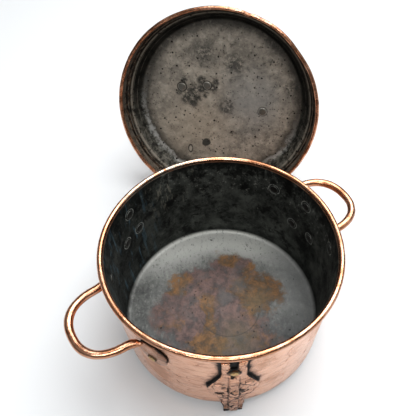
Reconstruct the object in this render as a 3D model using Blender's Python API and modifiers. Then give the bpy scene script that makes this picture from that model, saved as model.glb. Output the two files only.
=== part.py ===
"""Two-handled copper stew pot on three riveted feet, with its deep lid parked on edge behind it.

Metres, +Z up. The origin is the middle of the pot's flat underside. The front foot is at -Y,
and the feet hold the underside FOOT_LIFT above the ground.
The lid parts hang from the empty lid_swing, which sits on the lid's stand-in hinge.
"""

import math

import bmesh
import bpy
from mathutils import Matrix, Vector

# Pot body
RIM_RADIUS = 0.140  # outermost point of the rolled rim
BEAD_RADIUS = 0.0035  # the rolled rim's own section
SHEET = 0.002
CURL_SHEET = 0.0012  # the edge is thinned before it is rolled
CURL_END = math.radians(112)  # how far past the top the curl goes
BEAD_Z = 0.148
FLOOR_CORNER_RADIUS = 0.1275  # inner wall where it meets the inner fillet
INNER_FILLET = 0.006
OUTER_FILLET = 0.008
WIRE_RADIUS = 0.0019
GAP = 0.0003  # clearance between neighbouring pieces
TURN_STEPS = 60

# Handles
HANDLE_AZIMUTHS = {"handle_right": 26.0, "handle_left": 206.5}
HANDLE_Z = 0.120
ROD_RADIUS = 0.0051
LOOP_HALF_WIDTH = 0.0400
LOOP_REACH = 0.0465  # from the loop's shoulders to its tip
LOOP_START = 0.1405  # distance of the shoulders from the pot's axis
LOOP_POWER = 2.4
PALM_AZIMUTH = 25.2  # degrees from the handle's middle to each palm's rivet
PALM_LENGTH = 0.037
PALM_HEIGHT = 0.043
PALM_THICKNESS = 0.0034
PALM_Z = 0.108
HANDLE_RIVET_Z = {"handle_right": 0.1165, "handle_left": 0.1015}
ROD_TAPER = (  # past the loop's shoulders: degrees round the pot, share of the rod, stand-off
    (16.4, 1.0, 0.0022),
    (17.7, 0.92, 0.0006),
    (19.0, 0.70, 0.0),
    (20.2, 0.45, 0.0),
)

# Feet
FOOT_LIFT = 0.010
FOOT_AZIMUTHS = {"foot_front": -90.0, "foot_right": 28.0, "foot_left": 146.0}
FOOT_THICKNESS = 0.0036
FOOT_TOE_HALF = 0.0118
FOOT_TOP_Z = 0.1365
FOOT_OUTLINE = (  # half width, height; mirrored about the foot's middle
    (0.0140, FOOT_TOP_Z),
    (0.0145, 0.100),
    (0.0285, 0.0695),
    (0.0290, 0.0640),
    (0.0280, 0.0475),
    (0.0150, 0.0260),
    (FOOT_TOE_HALF, -0.006),
)
FOOT_STANDOFF_Z = 0.008  # below this the foot leaves the tapering wall and drops straight
FOOT_RIB = (0.0030, 0.0105, 0.109)  # how proud, width, height
FOOT_RIB_TOP_Z = 0.105
FOOT_SINK = 0.0004  # how far outside the foot's inner face the rib and the pad start
FOOT_PAD_DEPTH = 0.0048
FOOT_PAD_HEIGHT = 0.012
FOOT_NOTCH_WIDTH = 0.0075
FOOT_NOTCH_RISE = 0.0072  # from the top rivet's middle up to the notch's floor
FOOT_RIVETS = {  # sideways from the foot's middle, and height
    "foot_front": {"top": (0.0, 0.1130), "west": (-0.0165, 0.0775), "east": (0.0165, 0.0775)},
    "foot_right": {"top": (0.0012, 0.1230), "west": (-0.0165, 0.0770), "east": (0.0180, 0.0735)},
    "foot_left": {"top": (-0.0025, 0.1230), "west": (-0.0130, 0.0840), "east": (0.0150, 0.0835)},
}

# Lid, in its own frame: +Z out of its top, its open rim's centre at the origin
LID_BEAD_CENTRE = 0.14550
LID_BEAD_RADIUS = 0.00260
LID_SHEET = 0.0015
LID_CURL_SHEET = 0.0009
LID_WIRE_RADIUS = 0.0013
LID_SHOULDER_OUTER = (0.1429, 0.0126)  # inner surface, radius and height
LID_SHOULDER_INNER = (0.1361, 0.0225)
LID_DISC_RADIUS = 0.1220
LID_DEPTH = 0.0412
LID_TOP_FILLET = 0.009
LID_HANDLE_FEET = ((-0.0606, -0.0209), (0.0660, 0.0070))
LID_HANDLE_RISE = 0.038
LID_ROD_RADIUS = 0.0044
LID_ROD_SUNK = 0.0010  # height of the rod's ends above the palms' undersides
LID_PALM_RADIUS = 0.0115
LID_PALM_THICKNESS = 0.003
LID_PALM_STRETCH = 1.3
LID_PALM_SHIFT = 0.0035  # from the rivet towards the rod
LID_ROD_INSET = 0.0115  # from each rivet to the rod's end
LID_HANDLE_POWER = 2.6
LID_PLUG = (-0.0215, -0.0260)

# Where the lid is parked, and where it sits when it is on the pot
LID_PARK_DISTANCE = 0.2486
LID_PARK_AZIMUTH = math.radians(85.5)
LID_PARK_RISE = 0.0033  # middle of the bead above the ground, where the skirt just clears it
LID_TILT = math.radians(70.8)  # 0 is lying open side up
LID_FACING = math.radians(-105.6)  # the way its open side looks
LID_SEAT_Z = 0.1370
LID_SEAT_SHIFT = 0.0025  # how far forward of centred it sits

# Rivets
RIVET_SHANK = 0.003
HANDLE_RIVET_DOME = 0.0024
FOOT_RIVET_DOME = 0.0014
LID_RIVET_DOME = 0.0018
RIVET_HEAD = 0.0058
RIVET_INNER_HEAD = 0.0060
RIVET_INNER_THICKNESS = 0.0009
RIVET_STEPS = 12

# Colours
COPPER = (0.78, 0.48, 0.34)
RIVET_COPPER = (0.72, 0.47, 0.30)
WIRE_IRON = (0.30, 0.28, 0.27)


def clear_scene():
    for obj in list(bpy.data.objects):
        bpy.data.objects.remove(obj)


def new_collection(name, parent):
    made = bpy.data.collections.new(name)
    parent.children.link(made)
    return made


def metal(name, colour, roughness):
    made = bpy.data.materials.new(name)
    made.use_nodes = True
    shader = made.node_tree.nodes["Principled BSDF"]
    shader.inputs["Base Color"].default_value = (*colour, 1.0)
    shader.inputs["Roughness"].default_value = roughness
    shader.inputs["Metallic"].default_value = 1.0
    return made


def add_object(name, mesh, collection, material):
    obj = bpy.data.objects.new(name, mesh)
    collection.objects.link(obj)
    mesh.materials.append(material)
    return obj


def smooth(mesh, degrees=40):
    mesh.shade_smooth()
    mesh.set_sharp_from_angle(angle=math.radians(degrees))


def arc(centre, radius, start, end, count):
    """count points of a circle in the radius-height plane, from angle start to end."""
    return [
        (
            centre[0] + radius * math.cos(start + (end - start) * i / (count - 1)),
            centre[1] + radius * math.sin(start + (end - start) * i / (count - 1)),
        )
        for i in range(count)
    ]


def turned(name, profile, collection, material, steps=TURN_STEPS, closed=False):
    """A solid of revolution about Z. The profile runs down its outer side."""
    mesh = bpy.data.meshes.new(name)
    edges = [(i, i + 1) for i in range(len(profile) - 1)]
    if closed:
        edges.append((len(profile) - 1, 0))
    mesh.from_pydata([(r, 0.0, z) for r, z in profile], edges, [])
    obj = add_object(name, mesh, collection, material)
    screw = obj.modifiers.new("Turn", "SCREW")
    screw.axis = "Z"
    screw.steps = steps
    screw.render_steps = steps
    screw.use_merge_vertices = True
    screw.merge_threshold = 0.00001
    screw.use_smooth_shade = True
    return obj


def evaluated_copy(obj, name, collection, material):
    """The evaluated mesh of obj as a new plain mesh object in obj's place. obj is removed."""
    bpy.context.view_layer.update()
    graph = bpy.context.evaluated_depsgraph_get()
    mesh = bpy.data.meshes.new_from_object(obj.evaluated_get(graph))
    mesh.materials.clear()
    work = bmesh.new()
    work.from_mesh(mesh)
    bmesh.ops.remove_doubles(work, verts=work.verts, dist=0.000005)
    bmesh.ops.recalc_face_normals(work, faces=work.faces)
    work.to_mesh(mesh)
    work.free()
    made = add_object(name, mesh, collection, material)
    made.matrix_world = obj.matrix_world.copy()
    bpy.data.objects.remove(obj)
    return made


def tube(name, points, radius, collection, material, radii=None):
    """A round rod along points, with filled ends, as a mesh object."""
    curve = bpy.data.curves.new(name + "_path", "CURVE")
    curve.dimensions = "3D"
    curve.bevel_depth = radius
    curve.bevel_resolution = 2
    curve.use_fill_caps = True
    spline = curve.splines.new("POLY")
    spline.points.add(len(points) - 1)
    for i, point in enumerate(points):
        spline.points[i].co = (*point, 1.0)
        spline.points[i].radius = radii[i] if radii else 1.0
    path = bpy.data.objects.new(name + "_path", curve)
    collection.objects.link(path)
    rod = evaluated_copy(path, name, collection, material)
    smooth(rod.data)
    return rod


def boolean(obj, operation, other):
    modifier = obj.modifiers.new(operation.title(), "BOOLEAN")
    modifier.operation = operation
    modifier.solver = "EXACT"
    if isinstance(other, bpy.types.Collection):
        modifier.operand_type = "COLLECTION"
        modifier.collection = other
    else:
        modifier.object = other


def hide_helper(obj):
    obj.hide_render = True
    obj.display_type = "WIRE"


def wall_inner(z):
    """Inner radius of the pot's wall at height z."""
    low = SHEET + INNER_FILLET
    top_radius = RIM_RADIUS - 2 * BEAD_RADIUS
    share = (z - low) / (BEAD_Z - low)
    return FLOOR_CORNER_RADIUS + (top_radius - FLOOR_CORNER_RADIUS) * share


def wall_outer(z):
    return wall_inner(z) + SHEET


def wall_slope():
    return (wall_inner(BEAD_Z) - wall_inner(0.0)) / BEAD_Z


def wall_normal(azimuth):
    """Outward unit normal of the tapering wall."""
    return Vector((math.cos(azimuth), math.sin(azimuth), -wall_slope())).normalized()


def axis_matrix(origin, direction):
    """Places something built along +Z at origin, pointing along direction."""
    turn = direction.to_track_quat("Z", "Y").to_matrix().to_4x4()
    return Matrix.Translation(origin) @ turn


def pot_profile():
    bead = (RIM_RADIUS - BEAD_RADIUS, BEAD_Z)
    inner_radius = BEAD_RADIUS - CURL_SHEET
    inner_corner = (FLOOR_CORNER_RADIUS - INNER_FILLET, SHEET + INNER_FILLET)
    outer_corner = (wall_outer(OUTER_FILLET) - OUTER_FILLET, OUTER_FILLET)
    middle_z = BEAD_Z / 2
    points = [(0.0, SHEET)]
    points += arc(inner_corner, INNER_FILLET, -math.pi / 2, 0.0, 4)
    points += [(wall_inner(middle_z), middle_z)]
    points += arc(bead, BEAD_RADIUS, math.pi, -CURL_END, 9)
    points += arc(bead, inner_radius, -CURL_END, math.pi, 7)
    points += [(wall_outer(z), z) for z in (BEAD_Z - 2.3 * BEAD_RADIUS, middle_z)]
    points += arc(outer_corner, OUTER_FILLET, 0.0, -math.pi / 2, 4)
    points += [(0.0, 0.0)]
    return points


def rim_wire(name, centre, radius, collection, material):
    """The wire inside a rolled rim: a plain ring of round section."""
    section = arc(centre, radius, math.pi, -math.pi, 7)[:-1]
    return turned(name, section, collection, material, closed=True)


def rivet_profile(grip, dome):
    """Half section of a set rivet. Height 0 is the face under its inner head."""
    head_z = grip + GAP
    low_z = -GAP - RIVET_INNER_THICKNESS
    points = [(0.0, head_z + dome)]
    points += [
        (RIVET_HEAD * math.sin(t), head_z + 0.0004 + (dome - 0.0004) * math.cos(t))
        for t in (math.radians(45), math.radians(90))
    ]
    points += [(RIVET_HEAD, head_z), (RIVET_SHANK, head_z), (RIVET_SHANK, -GAP)]
    points += [(RIVET_INNER_HEAD, -GAP), (RIVET_INNER_HEAD - 0.0004, low_z)]
    points += [(0.0, low_z - 0.0002)]
    return points


def add_rivet(name, place, grip, dome, parts, cutters, material):
    """A rivet built along the +Z of place, and the clearance hole it sits in."""
    rivet = turned(name, rivet_profile(grip, dome), parts, material, RIVET_STEPS)
    rivet.matrix_world = place
    mesh = bpy.data.meshes.new(name + "_hole")
    work = bmesh.new()
    hole = RIVET_SHANK + GAP
    bmesh.ops.create_cone(
        work, cap_ends=True, segments=RIVET_STEPS, radius1=hole, radius2=hole, depth=0.030
    )
    work.to_mesh(mesh)
    work.free()
    cutter = bpy.data.objects.new(name + "_hole", mesh)
    cutters.objects.link(cutter)
    cutter.matrix_world = place
    hide_helper(cutter)
    return rivet, cutter


def wall_place(azimuth, z):
    """On the wall's inner surface at this azimuth and height, pointing outwards."""
    radius = wall_inner(z)
    origin = Vector((radius * math.cos(azimuth), radius * math.sin(azimuth), z))
    return axis_matrix(origin, wall_normal(azimuth))


def wrap_on_wall(mesh, azimuth, radius_at, column):
    """Bends a flat mesh (x sideways, y up) round the pot's axis at this azimuth."""
    work = bmesh.new()
    work.from_mesh(mesh)
    reach = max(abs(v.co.x) for v in work.verts)
    columns = int(reach / column)
    for i in range(-columns, columns + 1):
        bmesh.ops.bisect_plane(
            work,
            geom=work.verts[:] + work.edges[:] + work.faces[:],
            dist=0.00001,
            plane_co=(i * column, 0, 0),
            plane_no=(1, 0, 0),
        )
    for vert in work.verts:
        z = vert.co.y
        radius = radius_at(z)
        angle = azimuth + vert.co.x / radius
        vert.co = (radius * math.cos(angle), radius * math.sin(angle), z)
    bmesh.ops.recalc_face_normals(work, faces=work.faces)
    face = max(work.faces, key=lambda f: f.calc_area())
    outward = face.calc_center_median()
    outward.z = 0.0
    if face.normal.dot(outward) < 0:
        bmesh.ops.reverse_faces(work, faces=work.faces)
    work.to_mesh(mesh)
    work.free()


def flat_outline(name, points, collection, material):
    """A filled flat outline in the XY plane as a mesh object."""
    curve = bpy.data.curves.new(name + "_outline", "CURVE")
    curve.dimensions = "2D"
    curve.fill_mode = "BOTH"
    spline = curve.splines.new("POLY")
    spline.points.add(len(points) - 1)
    spline.use_cyclic_u = True
    for i, (x, y) in enumerate(points):
        spline.points[i].co = (x, y, 0.0, 1.0)
    outline = bpy.data.objects.new(name + "_outline", curve)
    collection.objects.link(outline)
    return evaluated_copy(outline, name, collection, material)


def thicken(obj, thickness):
    shell = obj.modifiers.new("Thickness", "SOLIDIFY")
    shell.thickness = thickness
    shell.offset = 1.0
    shell.use_even_offset = True


def superellipse(half_x, half_y, power, start, end, count):
    points = []
    for i in range(count):
        t = start + (end - start) * i / (count - 1)
        c, s = math.cos(t), math.sin(t)
        x = half_x * math.copysign(abs(c) ** (2 / power), c)
        y = half_y * math.copysign(abs(s) ** (2 / power), s)
        points.append((x, y))
    return points


def handle_path():
    """Middle line of a handle's rod in its own frame, x outwards, and the radius at each point."""
    seat = wall_outer(HANDLE_Z) + GAP
    loop = superellipse(
        LOOP_REACH, LOOP_HALF_WIDTH, LOOP_POWER, -math.pi / 2, math.pi / 2, 17
    )
    points = [(LOOP_START + x, y, 0.0) for x, y in loop]
    radii = [1.0] * len(points)
    for degrees, share, lift in ROD_TAPER:
        distance = seat + share * ROD_RADIUS + lift
        angle = math.radians(degrees)
        point = (distance * math.cos(angle), distance * math.sin(angle), 0.0)
        points.append(point)
        points.insert(0, (point[0], -point[1], 0.0))
        radii.append(share)
        radii.insert(0, share)
    return points, radii


def make_handle(name, azimuth, parts, helpers, holes, copper):
    points, radii = handle_path()
    handle = tube(name, points, ROD_RADIUS, parts, copper, radii)
    turn = Matrix.Rotation(azimuth, 4, "Z")
    handle.matrix_world = Matrix.Translation((0, 0, HANDLE_Z)) @ turn
    for side in (-1, 1):
        leaf = superellipse(PALM_LENGTH / 2, PALM_HEIGHT / 2, 2.3, 0.0, math.tau, 17)[:-1]
        label = f"{name}_palm_{'a' if side < 0 else 'b'}"
        leaf = [(x, y + PALM_Z) for x, y in leaf]
        palm = flat_outline(label, leaf, helpers, copper)
        middle = azimuth + side * math.radians(PALM_AZIMUTH)
        wrap_on_wall(palm.data, middle, lambda z: wall_outer(z) + GAP, 0.006)
        thicken(palm, PALM_THICKNESS)
        hide_helper(palm)
        boolean(handle, "UNION", palm)
    boolean(handle, "DIFFERENCE", holes)
    return handle


def foot_radius(z):
    """Radius of a foot's inner face at height z."""
    return wall_outer(max(z, FOOT_STANDOFF_Z)) + GAP


def foot_pad_radius():
    return foot_radius(0.0) + FOOT_SINK + FOOT_PAD_DEPTH / 2


def make_foot(name, azimuth, parts, helpers, holes, copper):
    outline = [(x, z) for x, z in FOOT_OUTLINE]
    outline += [(-x, z) for x, z in reversed(FOOT_OUTLINE)]
    foot = flat_outline(name, outline, parts, copper)
    wrap_on_wall(foot.data, azimuth, foot_radius, 0.0045)
    thicken(foot, FOOT_THICKNESS)

    frame = Matrix.Rotation(azimuth, 4, "Z")
    proud, width, height = FOOT_RIB
    rib_size = (FOOT_THICKNESS - FOOT_SINK + proud, width, height)
    lean = Matrix.Rotation(math.atan(wall_slope()), 4, "Y")
    middle_z = FOOT_RIB_TOP_Z - height / 2
    middle = wall_outer(middle_z) + GAP + FOOT_SINK + rib_size[0] / 2
    rib_frame = frame @ Matrix.Translation((middle, 0.0, middle_z)) @ lean
    rib = box(name + "_rib", (0.0, 0.0, 0.0), rib_size, rib_frame, helpers)
    rounding = rib.modifiers.new("Rounding", "BEVEL")
    rounding.width = proud / 2
    rounding.segments = 2
    boolean(foot, "UNION", rib)

    pad_centre = (foot_pad_radius(), 0.0, FOOT_PAD_HEIGHT / 2 - FOOT_LIFT)
    pad_size = (FOOT_PAD_DEPTH, 2 * FOOT_TOE_HALF, FOOT_PAD_HEIGHT)
    pad = box(name + "_pad", pad_centre, pad_size, frame, helpers)
    boolean(foot, "UNION", pad)

    depth = FOOT_TOP_Z - FOOT_RIVETS[name]["top"][1] - FOOT_NOTCH_RISE
    notch_size = (0.020, FOOT_NOTCH_WIDTH, 2 * depth)
    notch = box(name + "_notch", (wall_outer(FOOT_TOP_Z), 0.0, FOOT_TOP_Z), notch_size, frame, helpers)
    boolean(foot, "DIFFERENCE", notch)
    boolean(foot, "DIFFERENCE", holes)
    return foot


def box(name, centre, size, frame, helpers):
    """A hidden block used by a Boolean, placed in the turned frame."""
    mesh = bpy.data.meshes.new(name)
    work = bmesh.new()
    bmesh.ops.create_cube(work, size=1.0)
    bmesh.ops.scale(work, vec=size, verts=work.verts)
    bmesh.ops.translate(work, vec=centre, verts=work.verts)
    work.to_mesh(mesh)
    work.free()
    obj = bpy.data.objects.new(name, mesh)
    helpers.objects.link(obj)
    obj.matrix_world = frame
    hide_helper(obj)
    return obj


def lid_profile():
    """Half section of the lid, from the middle of its top out to the rolled rim and back inside."""
    bead = (LID_BEAD_CENTRE, 0.0)
    inner_radius = LID_BEAD_RADIUS - LID_CURL_SHEET
    fillet_centre = (LID_DISC_RADIUS, LID_DEPTH - LID_TOP_FILLET)
    drum_angle = math.atan2(
        fillet_centre[1] - LID_SHOULDER_INNER[1], LID_SHOULDER_INNER[0] - fillet_centre[0]
    )
    turn_end = math.pi / 2 - drum_angle + math.radians(14)
    run = LID_SHOULDER_OUTER[0] - LID_SHOULDER_INNER[0]
    rise = LID_SHOULDER_INNER[1] - LID_SHOULDER_OUTER[1]
    out = LID_SHEET * rise / math.hypot(run, rise)
    over = LID_SHEET * run / math.hypot(run, rise)
    shoulder_low = (LID_SHOULDER_OUTER[0] + LID_SHEET, LID_SHOULDER_OUTER[1] + over * 0.4)
    shoulder_high = (LID_SHOULDER_INNER[0] + out, LID_SHOULDER_INNER[1] + over)
    points = [(0.0, LID_DEPTH + LID_SHEET)]
    points += arc(fillet_centre, LID_TOP_FILLET + LID_SHEET, math.pi / 2, turn_end, 4)
    points += [shoulder_high, shoulder_low]
    points += arc(bead, inner_radius, math.pi, 2 * math.pi + CURL_END, 7)
    points += arc(bead, LID_BEAD_RADIUS, 2 * math.pi + CURL_END, math.pi, 9)
    points += [LID_SHOULDER_OUTER, LID_SHOULDER_INNER]
    points += arc(fillet_centre, LID_TOP_FILLET, turn_end, math.pi / 2, 4)
    points += [(0.0, LID_DEPTH)]
    return points


def lid_handle_path(base_z):
    """Middle line of the lid's arched handle, from one palm to the other."""
    start, end = Vector(LID_HANDLE_FEET[0]), Vector(LID_HANDLE_FEET[1])
    half = (end - start).length / 2
    along = (end - start).normalized()
    middle = (start + end) / 2
    points = []
    for x, rise in superellipse(
        half - LID_ROD_INSET, LID_HANDLE_RISE, LID_HANDLE_POWER, math.pi, 0.0, 15
    ):
        place = middle + along * x
        points.append((place.x, place.y, base_z + LID_ROD_SUNK + rise))
    return points


def make_lid_handle(parts, helpers, holes, copper, top_z):
    """The arched rod with an oval palm at each end."""
    base_z = top_z + GAP
    handle = tube("lid_handle", lid_handle_path(base_z), LID_ROD_RADIUS, parts, copper)
    for i, (x, y) in enumerate(LID_HANDLE_FEET):
        mesh = bpy.data.meshes.new(f"lid_handle_palm_{i}")
        work = bmesh.new()
        bmesh.ops.create_cone(
            work,
            cap_ends=True,
            segments=24,
            radius1=LID_PALM_RADIUS,
            radius2=LID_PALM_RADIUS - 0.0008,
            depth=LID_PALM_THICKNESS,
        )
        towards = Vector(LID_HANDLE_FEET[1 - i]) - Vector((x, y))
        stretch = Matrix.Rotation(math.atan2(towards.y, towards.x), 4, "Z")
        bmesh.ops.scale(work, vec=(LID_PALM_STRETCH, 1.0, 1.0), verts=work.verts)
        bmesh.ops.transform(work, matrix=stretch, verts=work.verts)
        shift = towards.normalized() * LID_PALM_SHIFT
        place = (x + shift.x, y + shift.y, base_z + LID_PALM_THICKNESS / 2)
        bmesh.ops.translate(work, vec=place, verts=work.verts)
        work.to_mesh(mesh)
        work.free()
        palm = bpy.data.objects.new(mesh.name, mesh)
        helpers.objects.link(palm)
        hide_helper(palm)
        boolean(handle, "UNION", palm)
    boolean(handle, "DIFFERENCE", holes)
    return handle


def lid_matrices():
    """The lid's frame when parked, and the middle of the one turn that carries it on to the pot."""
    height = LID_BEAD_CENTRE * math.sin(LID_TILT) + LID_PARK_RISE - FOOT_LIFT
    parked = Vector(
        (
            LID_PARK_DISTANCE * math.cos(LID_PARK_AZIMUTH),
            LID_PARK_DISTANCE * math.sin(LID_PARK_AZIMUTH),
            height,
        )
    )
    opening = Vector(
        (
            math.cos(LID_FACING) * math.sin(LID_TILT),
            math.sin(LID_FACING) * math.sin(LID_TILT),
            math.cos(LID_TILT),
        )
    )
    sideways = Vector((0, 0, 1)).cross(opening).normalized()
    up = -opening
    forward = up.cross(sideways)
    turn = Matrix((sideways, forward, up)).transposed().to_4x4()
    seated = Vector(
        (
            -LID_SEAT_SHIFT * math.cos(LID_PARK_AZIMUTH),
            -LID_SEAT_SHIFT * math.sin(LID_PARK_AZIMUTH),
            LID_SEAT_Z,
        )
    )
    move = seated - parked
    down = Vector((0, 0, -1))
    axis = move.cross(opening - down).normalized()
    along = opening.dot(axis)
    flat_open = opening - axis * along
    flat_down = down - axis * along
    angle = math.atan2(axis.dot(flat_open.cross(flat_down)), flat_open.dot(flat_down))
    pivot = (parked + seated) / 2 + axis.cross(move) / (2 * math.tan(angle / 2))
    return Matrix.Translation(parked) @ turn, pivot


def hang(obj, empty, matrix):
    """Makes obj a child of empty with this world matrix."""
    obj.parent = empty
    obj.matrix_parent_inverse = Matrix.Identity(4)
    obj.matrix_basis = empty.matrix_world.inverted() @ matrix


def build_pot(parts, helpers, holes, copper, rivet_copper, iron):
    for name, azimuth in HANDLE_AZIMUTHS.items():
        middle = math.radians(azimuth)
        for label, side in (("rivet_a", -1), ("rivet_b", 1)):
            palm_middle = middle + side * math.radians(PALM_AZIMUTH)
            place = wall_place(palm_middle, HANDLE_RIVET_Z[name])
            grip = SHEET + GAP + PALM_THICKNESS
            piece = f"{name}_{label}"
            add_rivet(piece, place, grip, HANDLE_RIVET_DOME, parts, holes, rivet_copper)
    for name, azimuth in FOOT_AZIMUTHS.items():
        for label, (sideways, z) in FOOT_RIVETS[name].items():
            place = wall_place(math.radians(azimuth) + sideways / wall_outer(z), z)
            grip = SHEET + GAP + FOOT_THICKNESS
            piece = f"{name}_rivet_{label}"
            add_rivet(piece, place, grip, FOOT_RIVET_DOME, parts, holes, rivet_copper)
    body = turned("pot_body", pot_profile(), parts, copper)
    boolean(body, "DIFFERENCE", holes)
    bead = (RIM_RADIUS - BEAD_RADIUS, BEAD_Z)
    rim_wire("pot_rim_wire", bead, WIRE_RADIUS, parts, iron)
    for name, azimuth in HANDLE_AZIMUTHS.items():
        make_handle(name, math.radians(azimuth), parts, helpers, holes, copper)
    for name, azimuth in FOOT_AZIMUTHS.items():
        make_foot(name, math.radians(azimuth), parts, helpers, holes, copper)


def build_lid(parts, helpers, holes, copper, rivet_copper, iron):
    parked, pivot = lid_matrices()
    swing = bpy.data.objects.new("lid_swing", None)
    parts.objects.link(swing)
    swing.location = pivot
    bpy.context.view_layer.update()

    top_z = LID_DEPTH + LID_SHEET
    shell = turned("lid_shell", lid_profile(), parts, copper)
    boolean(shell, "DIFFERENCE", holes)
    wire = rim_wire("lid_rim_wire", (LID_BEAD_CENTRE, 0.0), LID_WIRE_RADIUS, parts, iron)
    handle = make_lid_handle(parts, helpers, holes, copper, top_z)
    grip = LID_SHEET + GAP + LID_PALM_THICKNESS
    rivets = {
        "lid_handle_rivet_a": (LID_HANDLE_FEET[0], grip),
        "lid_handle_rivet_b": (LID_HANDLE_FEET[1], grip),
        "lid_plug_rivet": (LID_PLUG, LID_SHEET),
    }
    pieces = [shell, wire, handle]
    for name, ((x, y), held) in rivets.items():
        place = Matrix.Translation((x, y, LID_DEPTH))
        rivet, hole = add_rivet(name, place, held, LID_RIVET_DOME, parts, holes, rivet_copper)
        pieces += [rivet, hole]
    for obj in pieces + list(helpers.objects):
        hang(obj, swing, parked @ obj.matrix_world)


def main():
    clear_scene()
    root = bpy.context.scene.collection
    parts = new_collection("copper_stew_pot", root)
    helpers = new_collection("cutters", root)
    pot_holes = new_collection("pot_holes", helpers)
    lid_holes = new_collection("lid_holes", helpers)
    lid_helpers = new_collection("lid_cutters", helpers)
    copper = metal("copper", COPPER, 0.32)
    rivet_copper = metal("rivet_copper", RIVET_COPPER, 0.38)
    wire_iron = metal("wire_iron", WIRE_IRON, 0.6)
    build_pot(parts, helpers, pot_holes, copper, rivet_copper, wire_iron)
    build_lid(parts, lid_helpers, lid_holes, copper, rivet_copper, wire_iron)


main()
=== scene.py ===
"""Looks for the two-handled copper stew pot on three riveted feet and its deep lid.

Metres, +Z up, in the row frame. Every visible piece is rebuilt here as hand-hammered metal on the
places the CAD gives, and stands for its CAD node. Lid pieces are shaped in the lid's own frame:
+Z out of its top, the centre of its open rim at the origin.
"""

import math

import bpy
import numpy as np
from mathutils import Matrix, Vector


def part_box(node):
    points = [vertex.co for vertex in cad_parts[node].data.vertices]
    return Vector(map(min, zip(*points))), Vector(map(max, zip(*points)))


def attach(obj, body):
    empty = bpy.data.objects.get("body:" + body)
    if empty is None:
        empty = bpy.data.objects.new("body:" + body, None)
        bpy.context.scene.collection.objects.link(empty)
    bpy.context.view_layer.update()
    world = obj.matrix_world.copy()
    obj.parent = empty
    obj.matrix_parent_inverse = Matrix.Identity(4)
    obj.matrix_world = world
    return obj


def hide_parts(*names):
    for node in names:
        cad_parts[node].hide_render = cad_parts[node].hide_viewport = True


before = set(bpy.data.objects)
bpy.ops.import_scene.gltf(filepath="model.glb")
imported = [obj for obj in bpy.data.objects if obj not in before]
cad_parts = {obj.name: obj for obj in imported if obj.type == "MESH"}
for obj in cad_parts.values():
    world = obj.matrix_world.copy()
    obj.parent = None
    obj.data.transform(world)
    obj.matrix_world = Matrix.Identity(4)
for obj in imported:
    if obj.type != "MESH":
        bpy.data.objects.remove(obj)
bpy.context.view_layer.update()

# Pot, as in the CAD
RIM_RADIUS = 0.140
BEAD_RADIUS = 0.0035
SHEET = 0.002
CURL_SHEET = 0.0012
CURL_END = math.radians(112)
BEAD_Z = 0.148
FLOOR_CORNER = 0.1275
INNER_FILLET = 0.006
OUTER_FILLET = 0.008
WIRE_RADIUS = 0.0019
GAP = 0.0003
GROUND = -0.010

# Handles
HANDLES = {"handle_right": 26.0, "handle_left": 206.5}
HANDLE_Z = 0.120
ROD = 0.0051
LOOP_HALF_WIDTH = 0.0400
LOOP_REACH = 0.0465
LOOP_START = 0.1405
LOOP_POWER = 2.4
PALM_AZIMUTH = 25.2
PALM_HALF = (0.0185, 0.0215)
PALM_THICKNESS = 0.0034
PALM_Z = 0.108
HANDLE_RIVET_Z = {"handle_right": 0.1165, "handle_left": 0.1015}
ROD_TAPER = ((16.4, 1.0, 0.0022), (17.7, 0.92, 0.0006), (19.0, 0.70, 0.0), (20.2, 0.45, 0.0))

# Feet
FEET = {"foot_front": -90.0, "foot_right": 28.0, "foot_left": 146.0}
FOOT_THICKNESS = 0.0036
FOOT_TOP = 0.1365
FOOT_OUTLINE = (
    (0.0140, 0.1365),
    (0.0145, 0.100),
    (0.0285, 0.0695),
    (0.0290, 0.0640),
    (0.0280, 0.0475),
    (0.0150, 0.0260),
    (0.0118, -0.006),
)
FOOT_STANDOFF = 0.008
FOOT_RIVETS = {
    "foot_front": {"top": (0.0, 0.1130), "west": (-0.0165, 0.0775), "east": (0.0165, 0.0775)},
    "foot_right": {"top": (0.0012, 0.1230), "west": (-0.0165, 0.0770), "east": (0.0180, 0.0735)},
    "foot_left": {"top": (-0.0025, 0.1230), "west": (-0.0130, 0.0840), "east": (0.0150, 0.0835)},
}
FOOT_SLITS = ((-0.0160, 0.0056), (0.0130, 0.0046))
NOTCH_HALF = 0.00375
NOTCH_RISE = 0.0072

# Lid, in its own frame
LID_BEAD = 0.14550
LID_BEAD_RADIUS = 0.00260
LID_SHEET = 0.0015
LID_CURL_SHEET = 0.0009
LID_WIRE = 0.0013
SHOULDER_OUTER = (0.1429, 0.0126)
SHOULDER_INNER = (0.1361, 0.0225)
LID_DISC = 0.1220
LID_DEPTH = 0.0412
LID_FILLET = 0.009
LID_HANDLE_FEET = ((-0.0606, -0.0209), (0.0660, 0.0070))
LID_HANDLE_RISE = 0.038
LID_ROD = 0.0044
LID_PLUG = (-0.0215, -0.0260)
LID_TILT = math.radians(70.8)
LID_FACING = math.radians(-105.6)
LID_UNIT = 0.1423  # the lid's marks are placed in shares of this radius

STEPS = 400


# ---------------------------------------------------------------- numbers and fields


def unit(vectors):
    return vectors / np.maximum(np.linalg.norm(vectors, axis=-1, keepdims=True), 1e-12)


def smoothstep(low, high, x):
    t = np.clip((x - low) / (high - low), 0.0, 1.0)
    return t * t * (3 - 2 * t)


def ripple(points, size, seed, count=20):
    """Smooth noise of about unit size, with features about this many metres across."""
    rng = np.random.default_rng(seed)
    waves = unit(rng.normal(size=(count, 3)))
    waves *= (math.tau / size * rng.uniform(0.6, 1.5, count))[:, None]
    phase = rng.uniform(0, math.tau, count)
    return np.cos(points @ waves.T + phase).sum(1) * math.sqrt(2 / count)


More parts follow.
